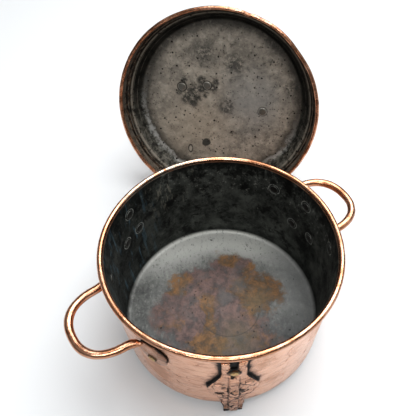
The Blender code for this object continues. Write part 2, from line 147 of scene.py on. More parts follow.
def scatter(i, j, k, seed):
    """Three numbers from 0 to 1 for each whole-number cell."""
    base = i * 127.1 + j * 311.7 + k * 74.7 + seed * 19.19
    return [np.mod(np.sin(base + n * 53.31) * 43758.5453, 1.0) for n in range(3)]


def dents(points, cell, seed):
    """Hammer marks: 1 in the middle of each mark, 0 on the ridges between marks."""
    grid = points / cell
    whole = np.floor(grid)
    nearest = np.full(len(points), 9.0)
    for di in (-1, 0, 1):
        for dj in (-1, 0, 1):
            for dk in (-1, 0, 1):
                i, j, k = (whole + (di, dj, dk)).T
                spot = np.stack([i, j, k]) + np.stack(scatter(i, j, k, seed))
                nearest = np.minimum(nearest, ((grid.T - spot) ** 2).sum(0))
    return np.clip(1 - nearest / 0.55, 0.0, 1.0)


# ---------------------------------------------------------------- mesh building


def new_piece(name, verts, faces, smooth=True):
    mesh = bpy.data.meshes.new(name)
    mesh.from_pydata(verts.tolist(), [], faces)
    mesh.update()
    if smooth:
        mesh.shade_smooth()
    obj = bpy.data.objects.new(name, mesh)
    bpy.context.scene.collection.objects.link(obj)
    return obj


def set_points(obj, points):
    obj.data.vertices.foreach_set("co", points.astype(np.float32).ravel())
    obj.data.update()


def get_points(obj):
    flat = np.empty(len(obj.data.vertices) * 3, np.float32)
    obj.data.vertices.foreach_get("co", flat)
    return flat.reshape(-1, 3).astype(float)


def get_normals(obj):
    flat = np.empty(len(obj.data.vertices) * 3, np.float32)
    obj.data.vertex_normals.foreach_get("vector", flat)
    return flat.reshape(-1, 3).astype(float)


def paint(obj, name, values):
    """Stores one number, or one vector, for each vertex, for the materials to read."""
    kind, field = ("FLOAT", "value") if values.ndim == 1 else ("FLOAT_VECTOR", "vector")
    made = obj.data.attributes.new(name, kind, "POINT")
    made.data.foreach_set(field, values.astype(np.float32).ravel())


def grid_faces(rows, columns, around=True, first=0):
    """Quads between neighbouring rows of points. Columns close on themselves when around."""
    faces = []
    last = columns if around else columns - 1
    for i in range(rows - 1):
        for j in range(last):
            k = (j + 1) % columns
            a, b = first + i * columns, first + (i + 1) * columns
            faces.append((a + j, b + j, b + k, a + k))
    return faces


def turn(profile, steps):
    """Points and faces of a solid of revolution whose profile starts and ends on the axis."""
    angles = np.arange(steps) * math.tau / steps
    rings = np.array(profile[1:-1])
    r, z = rings[:, 0][:, None], rings[:, 1][:, None]
    shape = (len(rings), steps)
    body = np.stack(
        [r * np.cos(angles), r * np.sin(angles), np.broadcast_to(z, shape)], -1
    ).reshape(-1, 3)
    count = len(rings) * steps
    ends = np.array([[0, 0, profile[0][1]], [0, 0, profile[-1][1]]], float)
    verts = np.vstack([body, ends])
    faces = grid_faces(len(rings), steps)
    low = (len(rings) - 1) * steps
    for j in range(steps):
        k = (j + 1) % steps
        faces.append((count, j, k))
        faces.append((count + 1, low + k, low + j))
    return verts, [tuple(reversed(f)) for f in faces]


def turn_loop(section, steps):
    """Points and faces of a closed section turned about the axis."""
    angles = np.arange(steps) * math.tau / steps
    ring = np.array(section)
    r, z = ring[:, 0][:, None], ring[:, 1][:, None]
    verts = np.stack(
        [r * np.cos(angles), r * np.sin(angles), np.broadcast_to(z, (len(ring), steps))], -1
    ).reshape(-1, 3)
    faces = grid_faces(len(ring), steps)
    low = (len(ring) - 1) * steps
    faces += [(low + j, j, (j + 1) % steps, low + (j + 1) % steps) for j in range(steps)]
    return verts, faces


def arc(centre, radius, start, end, count):
    t = np.linspace(start, end, count)
    return [(centre[0] + radius * math.cos(a), centre[1] + radius * math.sin(a)) for a in t]


def line(start, end, count):
    """count points from start up to but not including end."""
    share = np.arange(count) / count
    return [
        (start[0] + (end[0] - start[0]) * s, start[1] + (end[1] - start[1]) * s)
        for s in share
    ]


def fused(name, solids, voxel, rounds):
    """One skin round overlapping closed solids, with the joins between them softened."""
    verts, faces, first = [], [], 0
    for points, polygons in solids:
        verts.append(points)
        faces += [tuple(first + i for i in f) for f in polygons]
        first += len(points)
    rough = new_piece(name + "_rough", np.vstack(verts), faces)
    skin = rough.modifiers.new("Skin", "REMESH")
    skin.mode = "VOXEL"
    skin.voxel_size = voxel
    soften = rough.modifiers.new("Soften", "SMOOTH")
    soften.factor = 0.5
    soften.iterations = rounds
    graph = bpy.context.evaluated_depsgraph_get()
    mesh = bpy.data.meshes.new_from_object(rough.evaluated_get(graph))
    mesh.name = name
    obj = bpy.data.objects.new(name, mesh)
    bpy.context.scene.collection.objects.link(obj)
    bpy.data.objects.remove(rough)
    mesh.shade_smooth()
    return obj


def swept(path, radii, sides, flat=1.0):
    """A round rod along a path that lies nearly in a plane, with closed ends."""
    path = np.array(path)
    along = unit(np.gradient(path, axis=0))
    up = unit(np.cross(along[0], along[len(along) // 2]))
    across = unit(np.cross(along, up))
    turns = np.arange(sides) * math.tau / sides
    ring = (
        across[:, None] * np.cos(turns)[None, :, None]
        + up[None, None] * np.sin(turns)[None, :, None] * flat
    )
    verts = (path[:, None] + ring * np.asarray(radii)[:, None, None]).reshape(-1, 3)
    faces = grid_faces(len(path), sides)
    faces.append(tuple(range(sides)))
    last = (len(path) - 1) * sides
    faces.append(tuple(last + j for j in reversed(range(sides))))
    return verts, faces


def superellipse(half_x, half_y, power, start, end, count):
    t = np.linspace(start, end, count)
    c, s = np.cos(t), np.sin(t)
    x = half_x * np.sign(c) * np.abs(c) ** (2 / power)
    y = half_y * np.sign(s) * np.abs(s) ** (2 / power)
    return np.stack([x, y], -1)


def plate(outline, low, high, rings=10):
    """A closed plate over a flat outline. low and high give its faces' heights for (x, y, rho),
    where rho runs from 0 in the middle to 1 on the outline."""
    outline = np.array(outline)
    middle = outline.mean(0)
    count = len(outline)
    levels = np.linspace(0, 1, rings + 1)[1:]
    flat = np.concatenate([middle + (outline - middle) * s for s in levels])
    rho = np.repeat(levels, count)
    flat = np.vstack([flat, middle])
    rho = np.append(rho, 0.0)
    tops = np.column_stack([flat, high(flat[:, 0], flat[:, 1], rho)])
    bottoms = np.column_stack([flat, low(flat[:, 0], flat[:, 1], rho)])
    size = len(flat)
    top_faces = [tuple(reversed(f)) for f in grid_faces(rings, count)]
    top_faces += [(size - 1, j, (j + 1) % count) for j in range(count)]
    faces = list(top_faces)
    faces += [tuple(size + i for i in reversed(f)) for f in top_faces]
    edge = (rings - 1) * count
    for j in range(count):
        k = (j + 1) % count
        faces.append((edge + j, size + edge + j, size + edge + k, edge + k))
    return np.vstack([tops, bottoms]), faces


def block(centre, size, turned=None):
    corners = np.array([[x, y, z] for x in (-1, 1) for y in (-1, 1) for z in (-1, 1)], float)
    corners = corners * np.array(size) / 2
    if turned is not None:
        corners = corners @ np.array(turned.to_3x3()).T
    faces = [(0, 1, 3, 2), (4, 6, 7, 5), (0, 4, 5, 1), (2, 3, 7, 6), (0, 2, 6, 4), (1, 5, 7, 3)]
    return corners + np.array(centre), faces


# ---------------------------------------------------------------- the pot's shape


def wall_inner(z):
    low = SHEET + INNER_FILLET
    top = RIM_RADIUS - 2 * BEAD_RADIUS
    return FLOOR_CORNER + (top - FLOOR_CORNER) * (z - low) / (BEAD_Z - low)


def wall_outer(z):
    return wall_inner(z) + SHEET


SLOPE = (wall_inner(BEAD_Z) - wall_inner(0.0)) / BEAD_Z


def foot_radius(z):
    return wall_outer(np.maximum(z, FOOT_STANDOFF)) + GAP


def wrap(points, azimuth, radius_at):
    """Bends points (x sideways, y height, z out from the wall) round the pot's axis."""
    x, height, out = points.T
    base = radius_at(height)
    angle = azimuth + x / base
    radius = base + out
    return np.column_stack([radius * np.cos(angle), radius * np.sin(angle), height])


def warp_pot(points):
    """The pot is a little out of round and its rim is not quite level. It only shrinks."""
    x, y, z = points.T
    angle = np.arctan2(y, x)
    share = np.clip(z / BEAD_Z, 0, 1.1) ** 1.4
    pull = 0.0005 * (1 + np.cos(2 * (angle - math.radians(70))))
    pull += 0.00028 * (1 + np.cos(3 * (angle - math.radians(15))))
    pull += 0.00010 * (1 + np.cos(7 * (angle - math.radians(40))))
    radius = np.hypot(x, y)
    scale = 1 - pull * share / np.maximum(radius, 0.05) * (radius > 0.02)
    drop = 0.00035 * (1 + np.cos(2 * angle + 1.1)) + 0.0002 * (1 + np.cos(5 * angle + 0.4))
    return np.column_stack([x * scale, y * scale, z - drop * share])


def sheet_offsets(verts, profile, sides, steps, thickness, depth, cell, seed):
    """Moves a turned sheet's two faces together by hammer marks, and its rolled rim by its own."""
    ring = np.array(profile)
    tangent = np.gradient(ring, axis=0)
    normal = unit(np.column_stack([tangent[:, 1], -tangent[:, 0]])) * -1
    side = np.array(sides, float)
    angles = np.arange(steps) * math.tau / steps
    rows = slice(1, -1)
    n_r, n_z = normal[rows, 0][:, None], normal[rows, 1][:, None]
    shape = (len(ring) - 2, steps)
    normals = np.stack(
        [n_r * np.cos(angles), n_r * np.sin(angles), np.broadcast_to(n_z, shape)], -1
    ).reshape(-1, 3)
    sign = np.repeat(side[rows], steps)
    body = verts[:-2]
    middle = body - normals * (thickness / 2) * np.abs(sign)[:, None]
    marks = dents(middle, cell, seed) * depth
    marks += depth * 0.5 * (1 + ripple(middle, cell * 2.6, seed + 1) * 0.4)
    bead = dents(body, 0.0105, seed + 2) * 0.00009 + 0.00007 * (1 + ripple(body, 0.02, seed + 3) * 0.4)
    flat = np.where(sign == 0, bead, marks * np.sign(sign))
    moved = verts.copy()
    moved[:-2] = body - normals * flat[:, None]
    return moved


def pot_profile():
    """Half section from the middle of the inner floor round to the middle of the underside,
    with a sign for each point: -1 on the inner face, 1 on the outer face, 0 on the rolled rim."""
    bead = (RIM_RADIUS - BEAD_RADIUS, BEAD_Z)
    inner_corner = (FLOOR_CORNER - INNER_FILLET, SHEET + INNER_FILLET)
    outer_corner = (wall_outer(OUTER_FILLET) - OUTER_FILLET, OUTER_FILLET)
    inside = line((0.0, SHEET), (inner_corner[0], SHEET), 27)
    inside += arc(inner_corner, INNER_FILLET, -math.pi / 2, 0.0, 6)
    inside += line((wall_inner(0.010), 0.010), (wall_inner(BEAD_Z), BEAD_Z), 60)
    rim = arc(bead, BEAD_RADIUS, math.pi, -CURL_END, 26)
    rim += arc(bead, BEAD_RADIUS - CURL_SHEET, -CURL_END, math.pi - 0.35, 13)
    top = BEAD_Z - 0.002
    outside = line((wall_outer(top), top), (wall_outer(OUTER_FILLET), OUTER_FILLET), 60)
    outside += arc(outer_corner, OUTER_FILLET, 0.0, -math.pi / 2, 7)
    outside += line((outer_corner[0] - 0.004, 0.0), (0.0, 0.0), 14) + [(0.0, 0.0)]
    sides = [-1] * len(inside) + [0] * len(rim) + [1] * len(outside)
    return inside + rim + outside, sides


def build_pot_body():
    profile, sides = pot_profile()
    verts, faces = turn(profile, STEPS)
    rest = verts.copy()
    verts = sheet_offsets(verts, profile, sides, STEPS, SHEET, 0.00024, 0.0105, 11)
    obj = new_piece("pot_body_hammered", warp_pot(verts), faces)
    row = np.repeat(np.arange(len(profile) - 2), STEPS)
    inner_rows = sides.count(-1)
    tin = (row < inner_rows - 1).astype(float)
    tin = np.append(tin, [1.0, 0.0])
    paint(obj, "place", rest)
    paint(obj, "tin", tin)
    paint(obj, "grime_and_shade", wall_grime_and_shade(rest, tin))
    return obj


def outline_distance(x, y, outline):
    """Distance outside a closed outline, negative inside."""
    corners = np.array(outline)
    best = np.full(len(x), 1.0)
    inside = np.zeros(len(x), bool)
    for i in range(len(corners)):
        (ax, ay), (bx, by) = corners[i], corners[(i + 1) % len(corners)]
        dx, dy = bx - ax, by - ay
        t = np.clip(((x - ax) * dx + (y - ay) * dy) / (dx * dx + dy * dy), 0, 1)
        best = np.minimum(best, np.hypot(x - ax - t * dx, y - ay - t * dy))
        if ay != by:
            crosses = (ay > y) != (by > y)
            inside ^= crosses & (x < ax + (y - ay) * dx / dy)
    return np.where(inside, -best, best)


def foot_outline():
    outline = [(x, z) for x, z in FOOT_OUTLINE]
    return outline + [(-x, z) for x, z in reversed(FOOT_OUTLINE)]


def turned_from(points, azimuth):
    """Sideways distance round the pot from this azimuth, in metres."""
    angle = np.arctan2(points[:, 1], points[:, 0]) - azimuth
    angle = (angle + math.pi) % math.tau - math.pi
    return angle * np.hypot(points[:, 0], points[:, 1])


def wall_grime_and_shade(points, tin):
    """Soot and old polish beside the feet and palms and in the groove under the rolled rim, with painted shade
    in the same places.
    """
    z = points[:, 2]
    grime_and_shade = np.zeros(len(points))
    # The outline runs up past the foot's top, so the wall behind the foot and its notch is dark: painted shade
    # in the notch.
    tall = [(x, 0.2 if z_at == FOOT_TOP else z_at) for x, z_at in foot_outline()]
    # Beside the feet: soot with painted shade along their edges, strongest high up.
    for azimuth in FEET.values():
        x = turned_from(points, math.radians(azimuth))
        d = outline_distance(x, z, tall)
        reach = 0.0032 * smoothstep(0.045, 0.085, z) + 0.0013
        strength = 0.62 + 0.38 * smoothstep(0.050, 0.075, z)
        strength = strength * smoothstep(0.1385, 0.1345, z)
        grime_and_shade = np.maximum(grime_and_shade, np.exp(-np.maximum(d, 0) / reach) * strength)
    # Beside the palms: soot with painted shade, strongest above them.
    for azimuth in HANDLES.values():
        for side in (-1, 1):
            x = turned_from(points, math.radians(azimuth + side * PALM_AZIMUTH))
            d = np.hypot(x / PALM_HALF[0], (z - PALM_Z) / PALM_HALF[1]) - 1
            up = 0.25 + 0.75 * smoothstep(-0.014, -0.002, z - PALM_Z)
            grime_and_shade = np.maximum(grime_and_shade, np.exp(-np.maximum(d, 0) * 0.020 / 0.0015) * up * 0.74)
    # In the groove under the rolled rim: painted shade with soot.
    groove = np.exp(-np.maximum(BEAD_Z - 0.0030 - z, 0) / 0.0020)
    grime_and_shade = np.maximum(grime_and_shade, groove * 0.95 * (z < BEAD_Z - 0.001))
    # Darker towards the bottom of the wall.
    base = np.exp(-np.maximum(z - 0.002, 0) / 0.010) * 0.35
    return np.maximum(grime_and_shade, base) * (1 - tin)


def build_wire(name, centre, radius, warp=None):
    section = arc(centre, radius, 0.0, -math.tau, 13)[:-1]
    verts, faces = turn_loop(section, 240)
    obj = new_piece(name, verts if warp is None else warp(verts), faces)
    paint(obj, "place", verts)
    return obj


def handle_path():
    seat = wall_outer(HANDLE_Z) + GAP
    loop = superellipse(LOOP_REACH, LOOP_HALF_WIDTH, LOOP_POWER, -math.pi / 2, math.pi / 2, 61)
    points = [(LOOP_START + x, y, 0.0) for x, y in loop]
    radii = [1.0] * len(points)
    for degrees, share, lift in ROD_TAPER:
        distance = seat + share * ROD + lift
        angle = math.radians(degrees)
        point = (distance * math.cos(angle), distance * math.sin(angle), 0.0)
        points.append(point)
        points.insert(0, (point[0], -point[1], 0.0))
        radii.append(share)
        radii.insert(0, share)
    return resample(np.array(points), np.array(radii), 150)


def resample(points, radii, count):
    """Even points along a path, eased through its corners."""
    for _ in range(2):
        points[1:-1] = points[1:-1] * 0.5 + (points[:-2] + points[2:]) * 0.25
    steps = np.linalg.norm(np.diff(points, axis=0), axis=1)
    run = np.concatenate([[0], np.cumsum(steps)])
    at = np.linspace(0, run[-1], count)
    even = np.column_stack([np.interp(at, run, points[:, i]) for i in range(3)])
    return even, np.interp(at, run, radii)


def forged(obj, cell, depth, seed, sway=0.0):
    """Hammer marks and unevenness on a fused piece. Marks only go into the metal."""
    points, normals = get_points(obj), get_normals(obj)
    cut = dents(points, cell, seed) * depth
    cut += depth * 0.5 * (1 + 0.4 * ripple(points, cell * 2.2, seed + 1))
    moved = points - normals * cut[:, None]
    if sway:
        moved += np.column_stack([ripple(points, 0.09, seed + 5 + i) for i in range(3)]) * sway
    return points, moved


def build_handle(name, azimuth, seed):
    middle = math.radians(azimuth)
    path, radii = handle_path()
    rng = np.random.default_rng(seed)
    wave = np.interp(np.linspace(0, 1, len(path)), np.linspace(0, 1, 9), rng.uniform(-1, 1, 9))
    rod, rod_faces = swept(path, ROD * radii * (1 + 0.045 * wave), 22)
    spin = np.array(Matrix.Rotation(middle, 3, "Z"))
    rod = rod @ spin.T + (0, 0, HANDLE_Z)
    solids = [(rod, rod_faces)]
    for side in (-1, 1):
        leaf = superellipse(*PALM_HALF, 2.3, 0, math.tau, 57)[:-1] + (0, PALM_Z)
        points, faces = plate(
            leaf,
            lambda x, y, rho: np.zeros_like(x),
            lambda x, y, rho: PALM_THICKNESS * (1 - 0.45 * rho**4),
        )
        at = middle + math.radians(side * PALM_AZIMUTH)
        bent = wrap(points, at, lambda z: wall_outer(z) + GAP)
        solids.append((bent, faces))
    obj = fused(name + "_forged", solids, 0.00062, 9)
    points, moved = forged(obj, 0.0125, 0.00014, seed)
    paint(obj, "place", points)
    paint(obj, "grime_and_shade", palm_grime_and_shade(points, azimuth, HANDLE_RIVET_Z[name]))
    set_points(obj, warp_pot(moved))
    return obj


def palm_grime_and_shade(points, azimuth, rivet_z):
    """Dirt round the rivets and along the palms' edges, and under the loop's inner bend, with painted shade
    where the rod meets each palm and along the palms' upper edges.
    """
    grime_and_shade = np.zeros(len(points))
    radius = np.hypot(points[:, 0], points[:, 1])
    near_wall = smoothstep(0.0045, 0.0012, radius - wall_outer(points[:, 2]))
    for side in (-1, 1):
        x = turned_from(points, math.radians(azimuth + side * PALM_AZIMUTH))
        y = points[:, 2] - PALM_Z
        d = np.hypot(x, points[:, 2] - rivet_z)
        ring = np.exp(-(((d - 0.0068) / 0.0011) ** 2))
        # Painted shade under the rod's end where it meets the palm.
        rod_end = np.exp(-(((np.abs(x) - 0.008) / 0.0035) ** 2 + ((y - 0.0075) / 0.004) ** 2))
        ring = np.maximum(ring, rod_end * 0.6)
        edge = smoothstep(0.91, 1.0, np.hypot(x / PALM_HALF[0], y / PALM_HALF[1]))
        edge = edge * (0.22 + 0.50 * smoothstep(-0.012, -0.002, y))
        grime_and_shade = np.maximum(grime_and_shade, np.maximum(ring * 0.8, edge) * near_wall)
    return grime_and_shade


def notched_outline(floor_z):
    """The foot's outline with the notch in its top edge."""
    right = [(NOTCH_HALF, floor_z), (NOTCH_HALF, FOOT_TOP)]
    right += [(x, z) for x, z in FOOT_OUTLINE]
    left = [(-x, z) for x, z in reversed(right)]
    return right + left


def foot_solids(azimuth, seed):
    """The grid of sideways places and heights on which one foot is laid out."""
    cell = 0.0009
    xs = np.arange(-0.0297, 0.0300, cell)
    zs = np.arange(-0.0078, FOOT_TOP + 0.0015, cell)
    return xs, zs


def height_solid(xs, zs, inside, low, high):
    """A closed solid over the cells of a flat grid that are inside, between two height fields."""
    verts, faces, index = [], [], {}

    def corner(i, j, top):
        key = (i, j, top)
        if key not in index:
            index[key] = len(verts)
            x, z = xs[i], zs[j]
            verts.append((x, z, high[i, j] if top else low[i, j]))
        return index[key]

    def solid(i, j):
        return 0 <= i < inside.shape[0] and 0 <= j < inside.shape[1] and inside[i, j]

    for i in range(inside.shape[0]):
        for j in range(inside.shape[1]):
            if not inside[i, j]:
                continue
            ring = [(i, j), (i + 1, j), (i + 1, j + 1), (i, j + 1)]
            faces.append(tuple(corner(a, b, True) for a, b in ring))
            faces.append(tuple(corner(a, b, False) for a, b in reversed(ring)))
            beside = [(i, j - 1), (i + 1, j), (i, j + 1), (i - 1, j)]
            for n, (a, b) in enumerate(beside):
                if not solid(a, b):
                    p, q = ring[n], ring[(n + 1) % 4]
                    faces.append(
                        (corner(*p, True), corner(*p, False), corner(*q, False), corner(*q, True))
                    )
    return np.array(verts), faces


def build_foot(name, azimuth, seed):
    xs, zs = foot_solids(azimuth, seed)
    x, z = np.meshgrid(xs, zs, indexing="ij")
    flat = np.column_stack([x.ravel(), z.ravel(), np.zeros(x.size)])
    wander = 0.0005 * ripple(flat, 0.022, seed + 9)
    notch_z = FOOT_RIVETS[name]["top"][1] + NOTCH_RISE
    d = outline_distance(x.ravel() + wander, z.ravel() + wander, notched_outline(notch_z))
    d = d.reshape(x.shape)
    centre = (d[:-1, :-1] + d[1:, :-1] + d[:-1, 1:] + d[1:, 1:]) / 4
    inside = centre < 0
    high = FOOT_THICKNESS * (0.62 + 0.38 * smoothstep(0.0, 0.0035, -d))
    rib = smoothstep(0.0062, 0.0040, np.abs(x)) * smoothstep(0.1062, 0.1030, z)
    high = high + 0.0030 * rib * (0.55 + 0.45 * smoothstep(0.112, 0.085, z))
    gusset = smoothstep(0.066, 0.056, z) * smoothstep(0.0185, 0.004, np.abs(x))
    high = high + 0.0012 * gusset
    for centre_x, width in FOOT_SLITS:
        along = smoothstep(width, width * 0.5, np.abs(x - centre_x))
        line_z = 0.0520 + (x - centre_x) * 0.12 + 0.0006 * np.sin(x * 900)
        high = high - 0.0019 * along * np.exp(-(((z - line_z) / 0.0009) ** 2))
    low = np.zeros_like(high)
    points, faces = height_solid(xs, zs, inside, low, high)
    bent = wrap(points, math.radians(azimuth), foot_radius)
    solids = [(bent, faces)]
    spin = Matrix.Rotation(math.radians(azimuth), 4, "Z")
    pad_radius = foot_radius(0.0) + 0.0004 + 0.0048 / 2
    place = spin @ Vector((float(pad_radius), 0.0, GROUND + 0.006))
    solids.append(block(place, (0.0045, 0.0228, 0.0118), spin))
    obj = fused(name + "_forged", solids, 0.00066, 4)
    points, moved = forged(obj, 0.0075, 0.00026, seed)
    lowest = points[:, 2] < GROUND + 0.004
    moved[lowest, 2] = np.maximum(moved[lowest, 2], GROUND + 0.0001)
    paint(obj, "place", points)
    paint(obj, "grime_and_shade", foot_grime_and_shade(points, azimuth, notch_z))
    set_points(obj, warp_pot(moved))
    return obj


def foot_grime_and_shade(points, azimuth, notch_z):
    """Black in the notch, along the buried upper edges, in the slits and under the toe: soot, with painted
    shade in these recesses.
    """
    x = turned_from(points, math.radians(azimuth))
    z = points[:, 2]
    out = np.hypot(points[:, 0], points[:, 1]) - foot_radius(z)
    d = outline_distance(x, z, foot_outline())
    high = smoothstep(0.058, 0.072, z) * smoothstep(0.1365, 0.1350, z)
    buried = smoothstep(0.0022, 0.0004, out) * (0.20 + 0.70 * high)
    side = smoothstep(-0.0011, -0.0002, d) * smoothstep(0.0036, 0.0028, out) * high
    buried = np.maximum(buried, side * 0.95)
    # The notch is painted black as shade in the recess.
    in_notch = smoothstep(NOTCH_HALF + 0.0014, NOTCH_HALF - 0.0002, np.abs(x))
    in_notch = in_notch * smoothstep(notch_z - 0.0008, notch_z + 0.0010, z)
    rivet_z = notch_z - NOTCH_RISE
    ring = np.exp(-(((np.hypot(x, z - rivet_z) - 0.0068) / 0.0017) ** 2))
    ring = ring * (0.55 + 0.40 * smoothstep(-0.001, 0.003, z - rivet_z))
    beside_rib = np.exp(-(((np.abs(x) - 0.0064) / 0.0009) ** 2)) * smoothstep(0.108, 0.095, z)
    # The slits are painted black as the shadow under the lobes' edges, with soot.
    slit = np.zeros(len(x))
    for centre_x, width in FOOT_SLITS:
        along = smoothstep(width * 1.15, width * 0.7, np.abs(x - centre_x))
        line_z = 0.0520 + (x - centre_x) * 0.12 + 0.0006 * np.sin(x * 900)
        slit = np.maximum(slit, along * np.exp(-(((z - line_z) / 0.0018) ** 2)))
    # The toe is darkened near the ground as painted shade, with soot.
    toe = smoothstep(0.026, 0.004, z) * 0.34 + smoothstep(0.000, -0.007, z) * 0.40
    worn = 0.27 * np.exp(-((x / 0.014) ** 2)) * smoothstep(0.108, 0.088, z)
    return np.maximum.reduce([buried, in_notch, ring, beside_rib * 0.62, slit * 1.35, toe, worn])


def rivet_mesh(grip, dome, head, inner_head, seed, flush=0.0):
    """A set rivet along +Z from the inner face of the sheet at 0: a worked dome outside and a
    thin spread head inside."""
    top = grip + GAP - flush
    outer = [(0.0, top + dome)]
    for t in np.linspace(0, math.pi / 2, 9)[1:]:
        outer.append((head * math.sin(t), top + 0.0003 + (dome - 0.0003) * math.cos(t)))
    outer += [(head * 0.985, top), (0.003, top), (0.003, -GAP)]
    outer += [(inner_head * 0.97, -GAP), (inner_head, -GAP - 0.0003)]
    outer += [(inner_head * 0.93, -GAP - 0.0008), (inner_head * 0.6, -GAP - 0.0010)]
    outer += [(0.0, -GAP - 0.0011)]
    verts, faces = turn(outer[::-1], 40)
    rng = np.random.default_rng(seed)
    angle = np.arctan2(verts[:, 1], verts[:, 0])
    lobes = sum(
        rng.uniform(-0.03, 0.03) * np.cos(n * angle + rng.uniform(0, 6)) for n in (2, 3, 5)
    )
    radius = np.hypot(verts[:, 0], verts[:, 1])
    grow = 1 + lobes * smoothstep(0.0031, 0.0045, radius)
    verts[:, :2] *= grow[:, None]
    above = verts[:, 2] > top + 0.0002
    cut = dents(verts * (1, 1, 0.4), 0.0042, seed) * 0.00035
    verts[above, 2] -= cut[above] * np.minimum(1, dome / 0.002)
    return verts, faces


def build_rivet(name, matrix, grip, dome, seed, warp=None, flush=0.0, head=0.0058):
    verts, faces = rivet_mesh(grip, dome, head, 0.0060, seed, flush)
    obj = new_piece(name, verts, faces)
    paint(obj, "place", verts)
    spun = np.array(matrix)
    world = verts @ spun[:3, :3].T + spun[:3, 3]
    set_points(obj, world if warp is None else warp(world))
    return obj


def wall_matrix(azimuth, z):
    """On the wall's inner face at this azimuth and height, pointing outwards."""
    radius = wall_inner(z)
    origin = Vector((radius * math.cos(azimuth), radius * math.sin(azimuth), z))
    out = Vector((math.cos(azimuth), math.sin(azimuth), -SLOPE)).normalized()
    return Matrix.Translation(origin) @ out.to_track_quat("Z", "Y").to_matrix().to_4x4()


# ---------------------------------------------------------------- the lid's shape


def lid_matrix():
    """The parked lid's frame: its rim's centre, with +Z out of its top."""
    low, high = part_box("lid_rim_wire")
    opening = Vector(
        (
            math.cos(LID_FACING) * math.sin(LID_TILT),
            math.sin(LID_FACING) * math.sin(LID_TILT),
            math.cos(LID_TILT),
        )
    )
    sideways = Vector((0, 0, 1)).cross(opening).normalized()
    up = -opening
    axes = Matrix((sideways, up.cross(sideways), up)).transposed().to_4x4()
    return Matrix.Translation((low + high) / 2) @ axes


def lid_profile():
    """Half section from the middle of the lid's inside round its rim to the middle of its top,
    with the same signs as the pot's."""
    bead = (LID_BEAD, 0.0)
    corner = (LID_DISC, LID_DEPTH - LID_FILLET)
    drum = math.atan2(corner[1] - SHOULDER_INNER[1], SHOULDER_INNER[0] - corner[0])
    end = math.pi / 2 - drum + math.radians(14)
    run = SHOULDER_OUTER[0] - SHOULDER_INNER[0]
    rise = SHOULDER_INNER[1] - SHOULDER_OUTER[1]
    out = LID_SHEET * rise / math.hypot(run, rise)
    over = LID_SHEET * run / math.hypot(run, rise)
    outer_low = (SHOULDER_OUTER[0] + LID_SHEET, SHOULDER_OUTER[1] + over * 0.4)
    outer_high = (SHOULDER_INNER[0] + out, SHOULDER_INNER[1] + over)
    inside = line((0.0, LID_DEPTH), (LID_DISC, LID_DEPTH), 27)
    inside += arc(corner, LID_FILLET, math.pi / 2, end, 8)
    inside += line(inside[-1], SHOULDER_INNER, 6)[1:]
    inside += line(SHOULDER_INNER, SHOULDER_OUTER, 6)
    inner_rim = (LID_BEAD - LID_BEAD_RADIUS, 0.0)
    inside += line(SHOULDER_OUTER, inner_rim, 7)
    rim = arc(bead, LID_BEAD_RADIUS, -math.pi, CURL_END, 24)
    rim += arc(bead, LID_BEAD_RADIUS - LID_CURL_SHEET, CURL_END, -math.pi + 0.45, 12)
    start = (inner_rim[0] + LID_SHEET, 0.0018)
    outside = line(start, outer_low, 7) + line(outer_low, outer_high, 6)
    top_arc = arc(corner, LID_FILLET + LID_SHEET, end, math.pi / 2, 9)
    outside += line(outer_high, top_arc[0], 6) + top_arc
    outside += line((LID_DISC - 0.004, LID_DEPTH + LID_SHEET), (0.0, LID_DEPTH + LID_SHEET), 26)
    outside += [(0.0, LID_DEPTH + LID_SHEET)]
    sides = [-1] * len(inside) + [0] * len(rim) + [1] * len(outside)
    return inside + rim + outside, sides


def mark(u, v):
    """A point on the lid, u to the right and v up as the parked lid is seen from inside."""
    return u * LID_UNIT, -v * LID_UNIT


def warp_lid(points):
    """Knocks in the lid's rim and an uneven edge, out where there is room for the pot's rim."""
    x, y, z = points.T
    angle = np.arctan2(y, x)
    radius = np.hypot(x, y)

    def near(degrees, width):
        away = (angle - math.radians(degrees) + math.pi) % math.tau - math.pi
        return np.exp(-((away / math.radians(width)) ** 2))

    edge = smoothstep(0.0250, 0.0, z) * smoothstep(0.11, 0.14, radius)
    push = -0.0015 * near(-41, 9) - 0.0011 * near(-75, 2.2) + 0.0004 * near(-58, 8)
    wave = 0.00022 * (1 + np.cos(3 * angle + 0.7)) + 0.00012 * (1 + np.cos(8 * angle))
    push += wave * (1 - near(90, 35))
    scale = 1 + push * edge / np.maximum(radius, 0.05)
    lift = 0.0002 * np.cos(3 * angle + 1.7) * edge
    return np.column_stack([x * scale, y * scale, z - np.abs(lift)])


def build_lid_shell(place):
    profile, sides = lid_profile()
    verts, faces = turn(profile, STEPS)
    faces = [tuple(reversed(f)) for f in faces]
    rest = verts.copy()
    moved = sheet_offsets(verts, profile, [-s for s in sides], STEPS, LID_SHEET, -0.00016, 0.012, 31)
    obj = new_piece("lid_shell_hammered", warp_lid(moved), faces)
    row = np.repeat(np.arange(len(profile) - 2), STEPS)
    tin = (row < sides.count(-1) - 1).astype(float)
    paint(obj, "place", rest)
    paint(obj, "tin", np.append(tin, [1.0, 0.0]))
    obj.data.transform(place)
    return obj


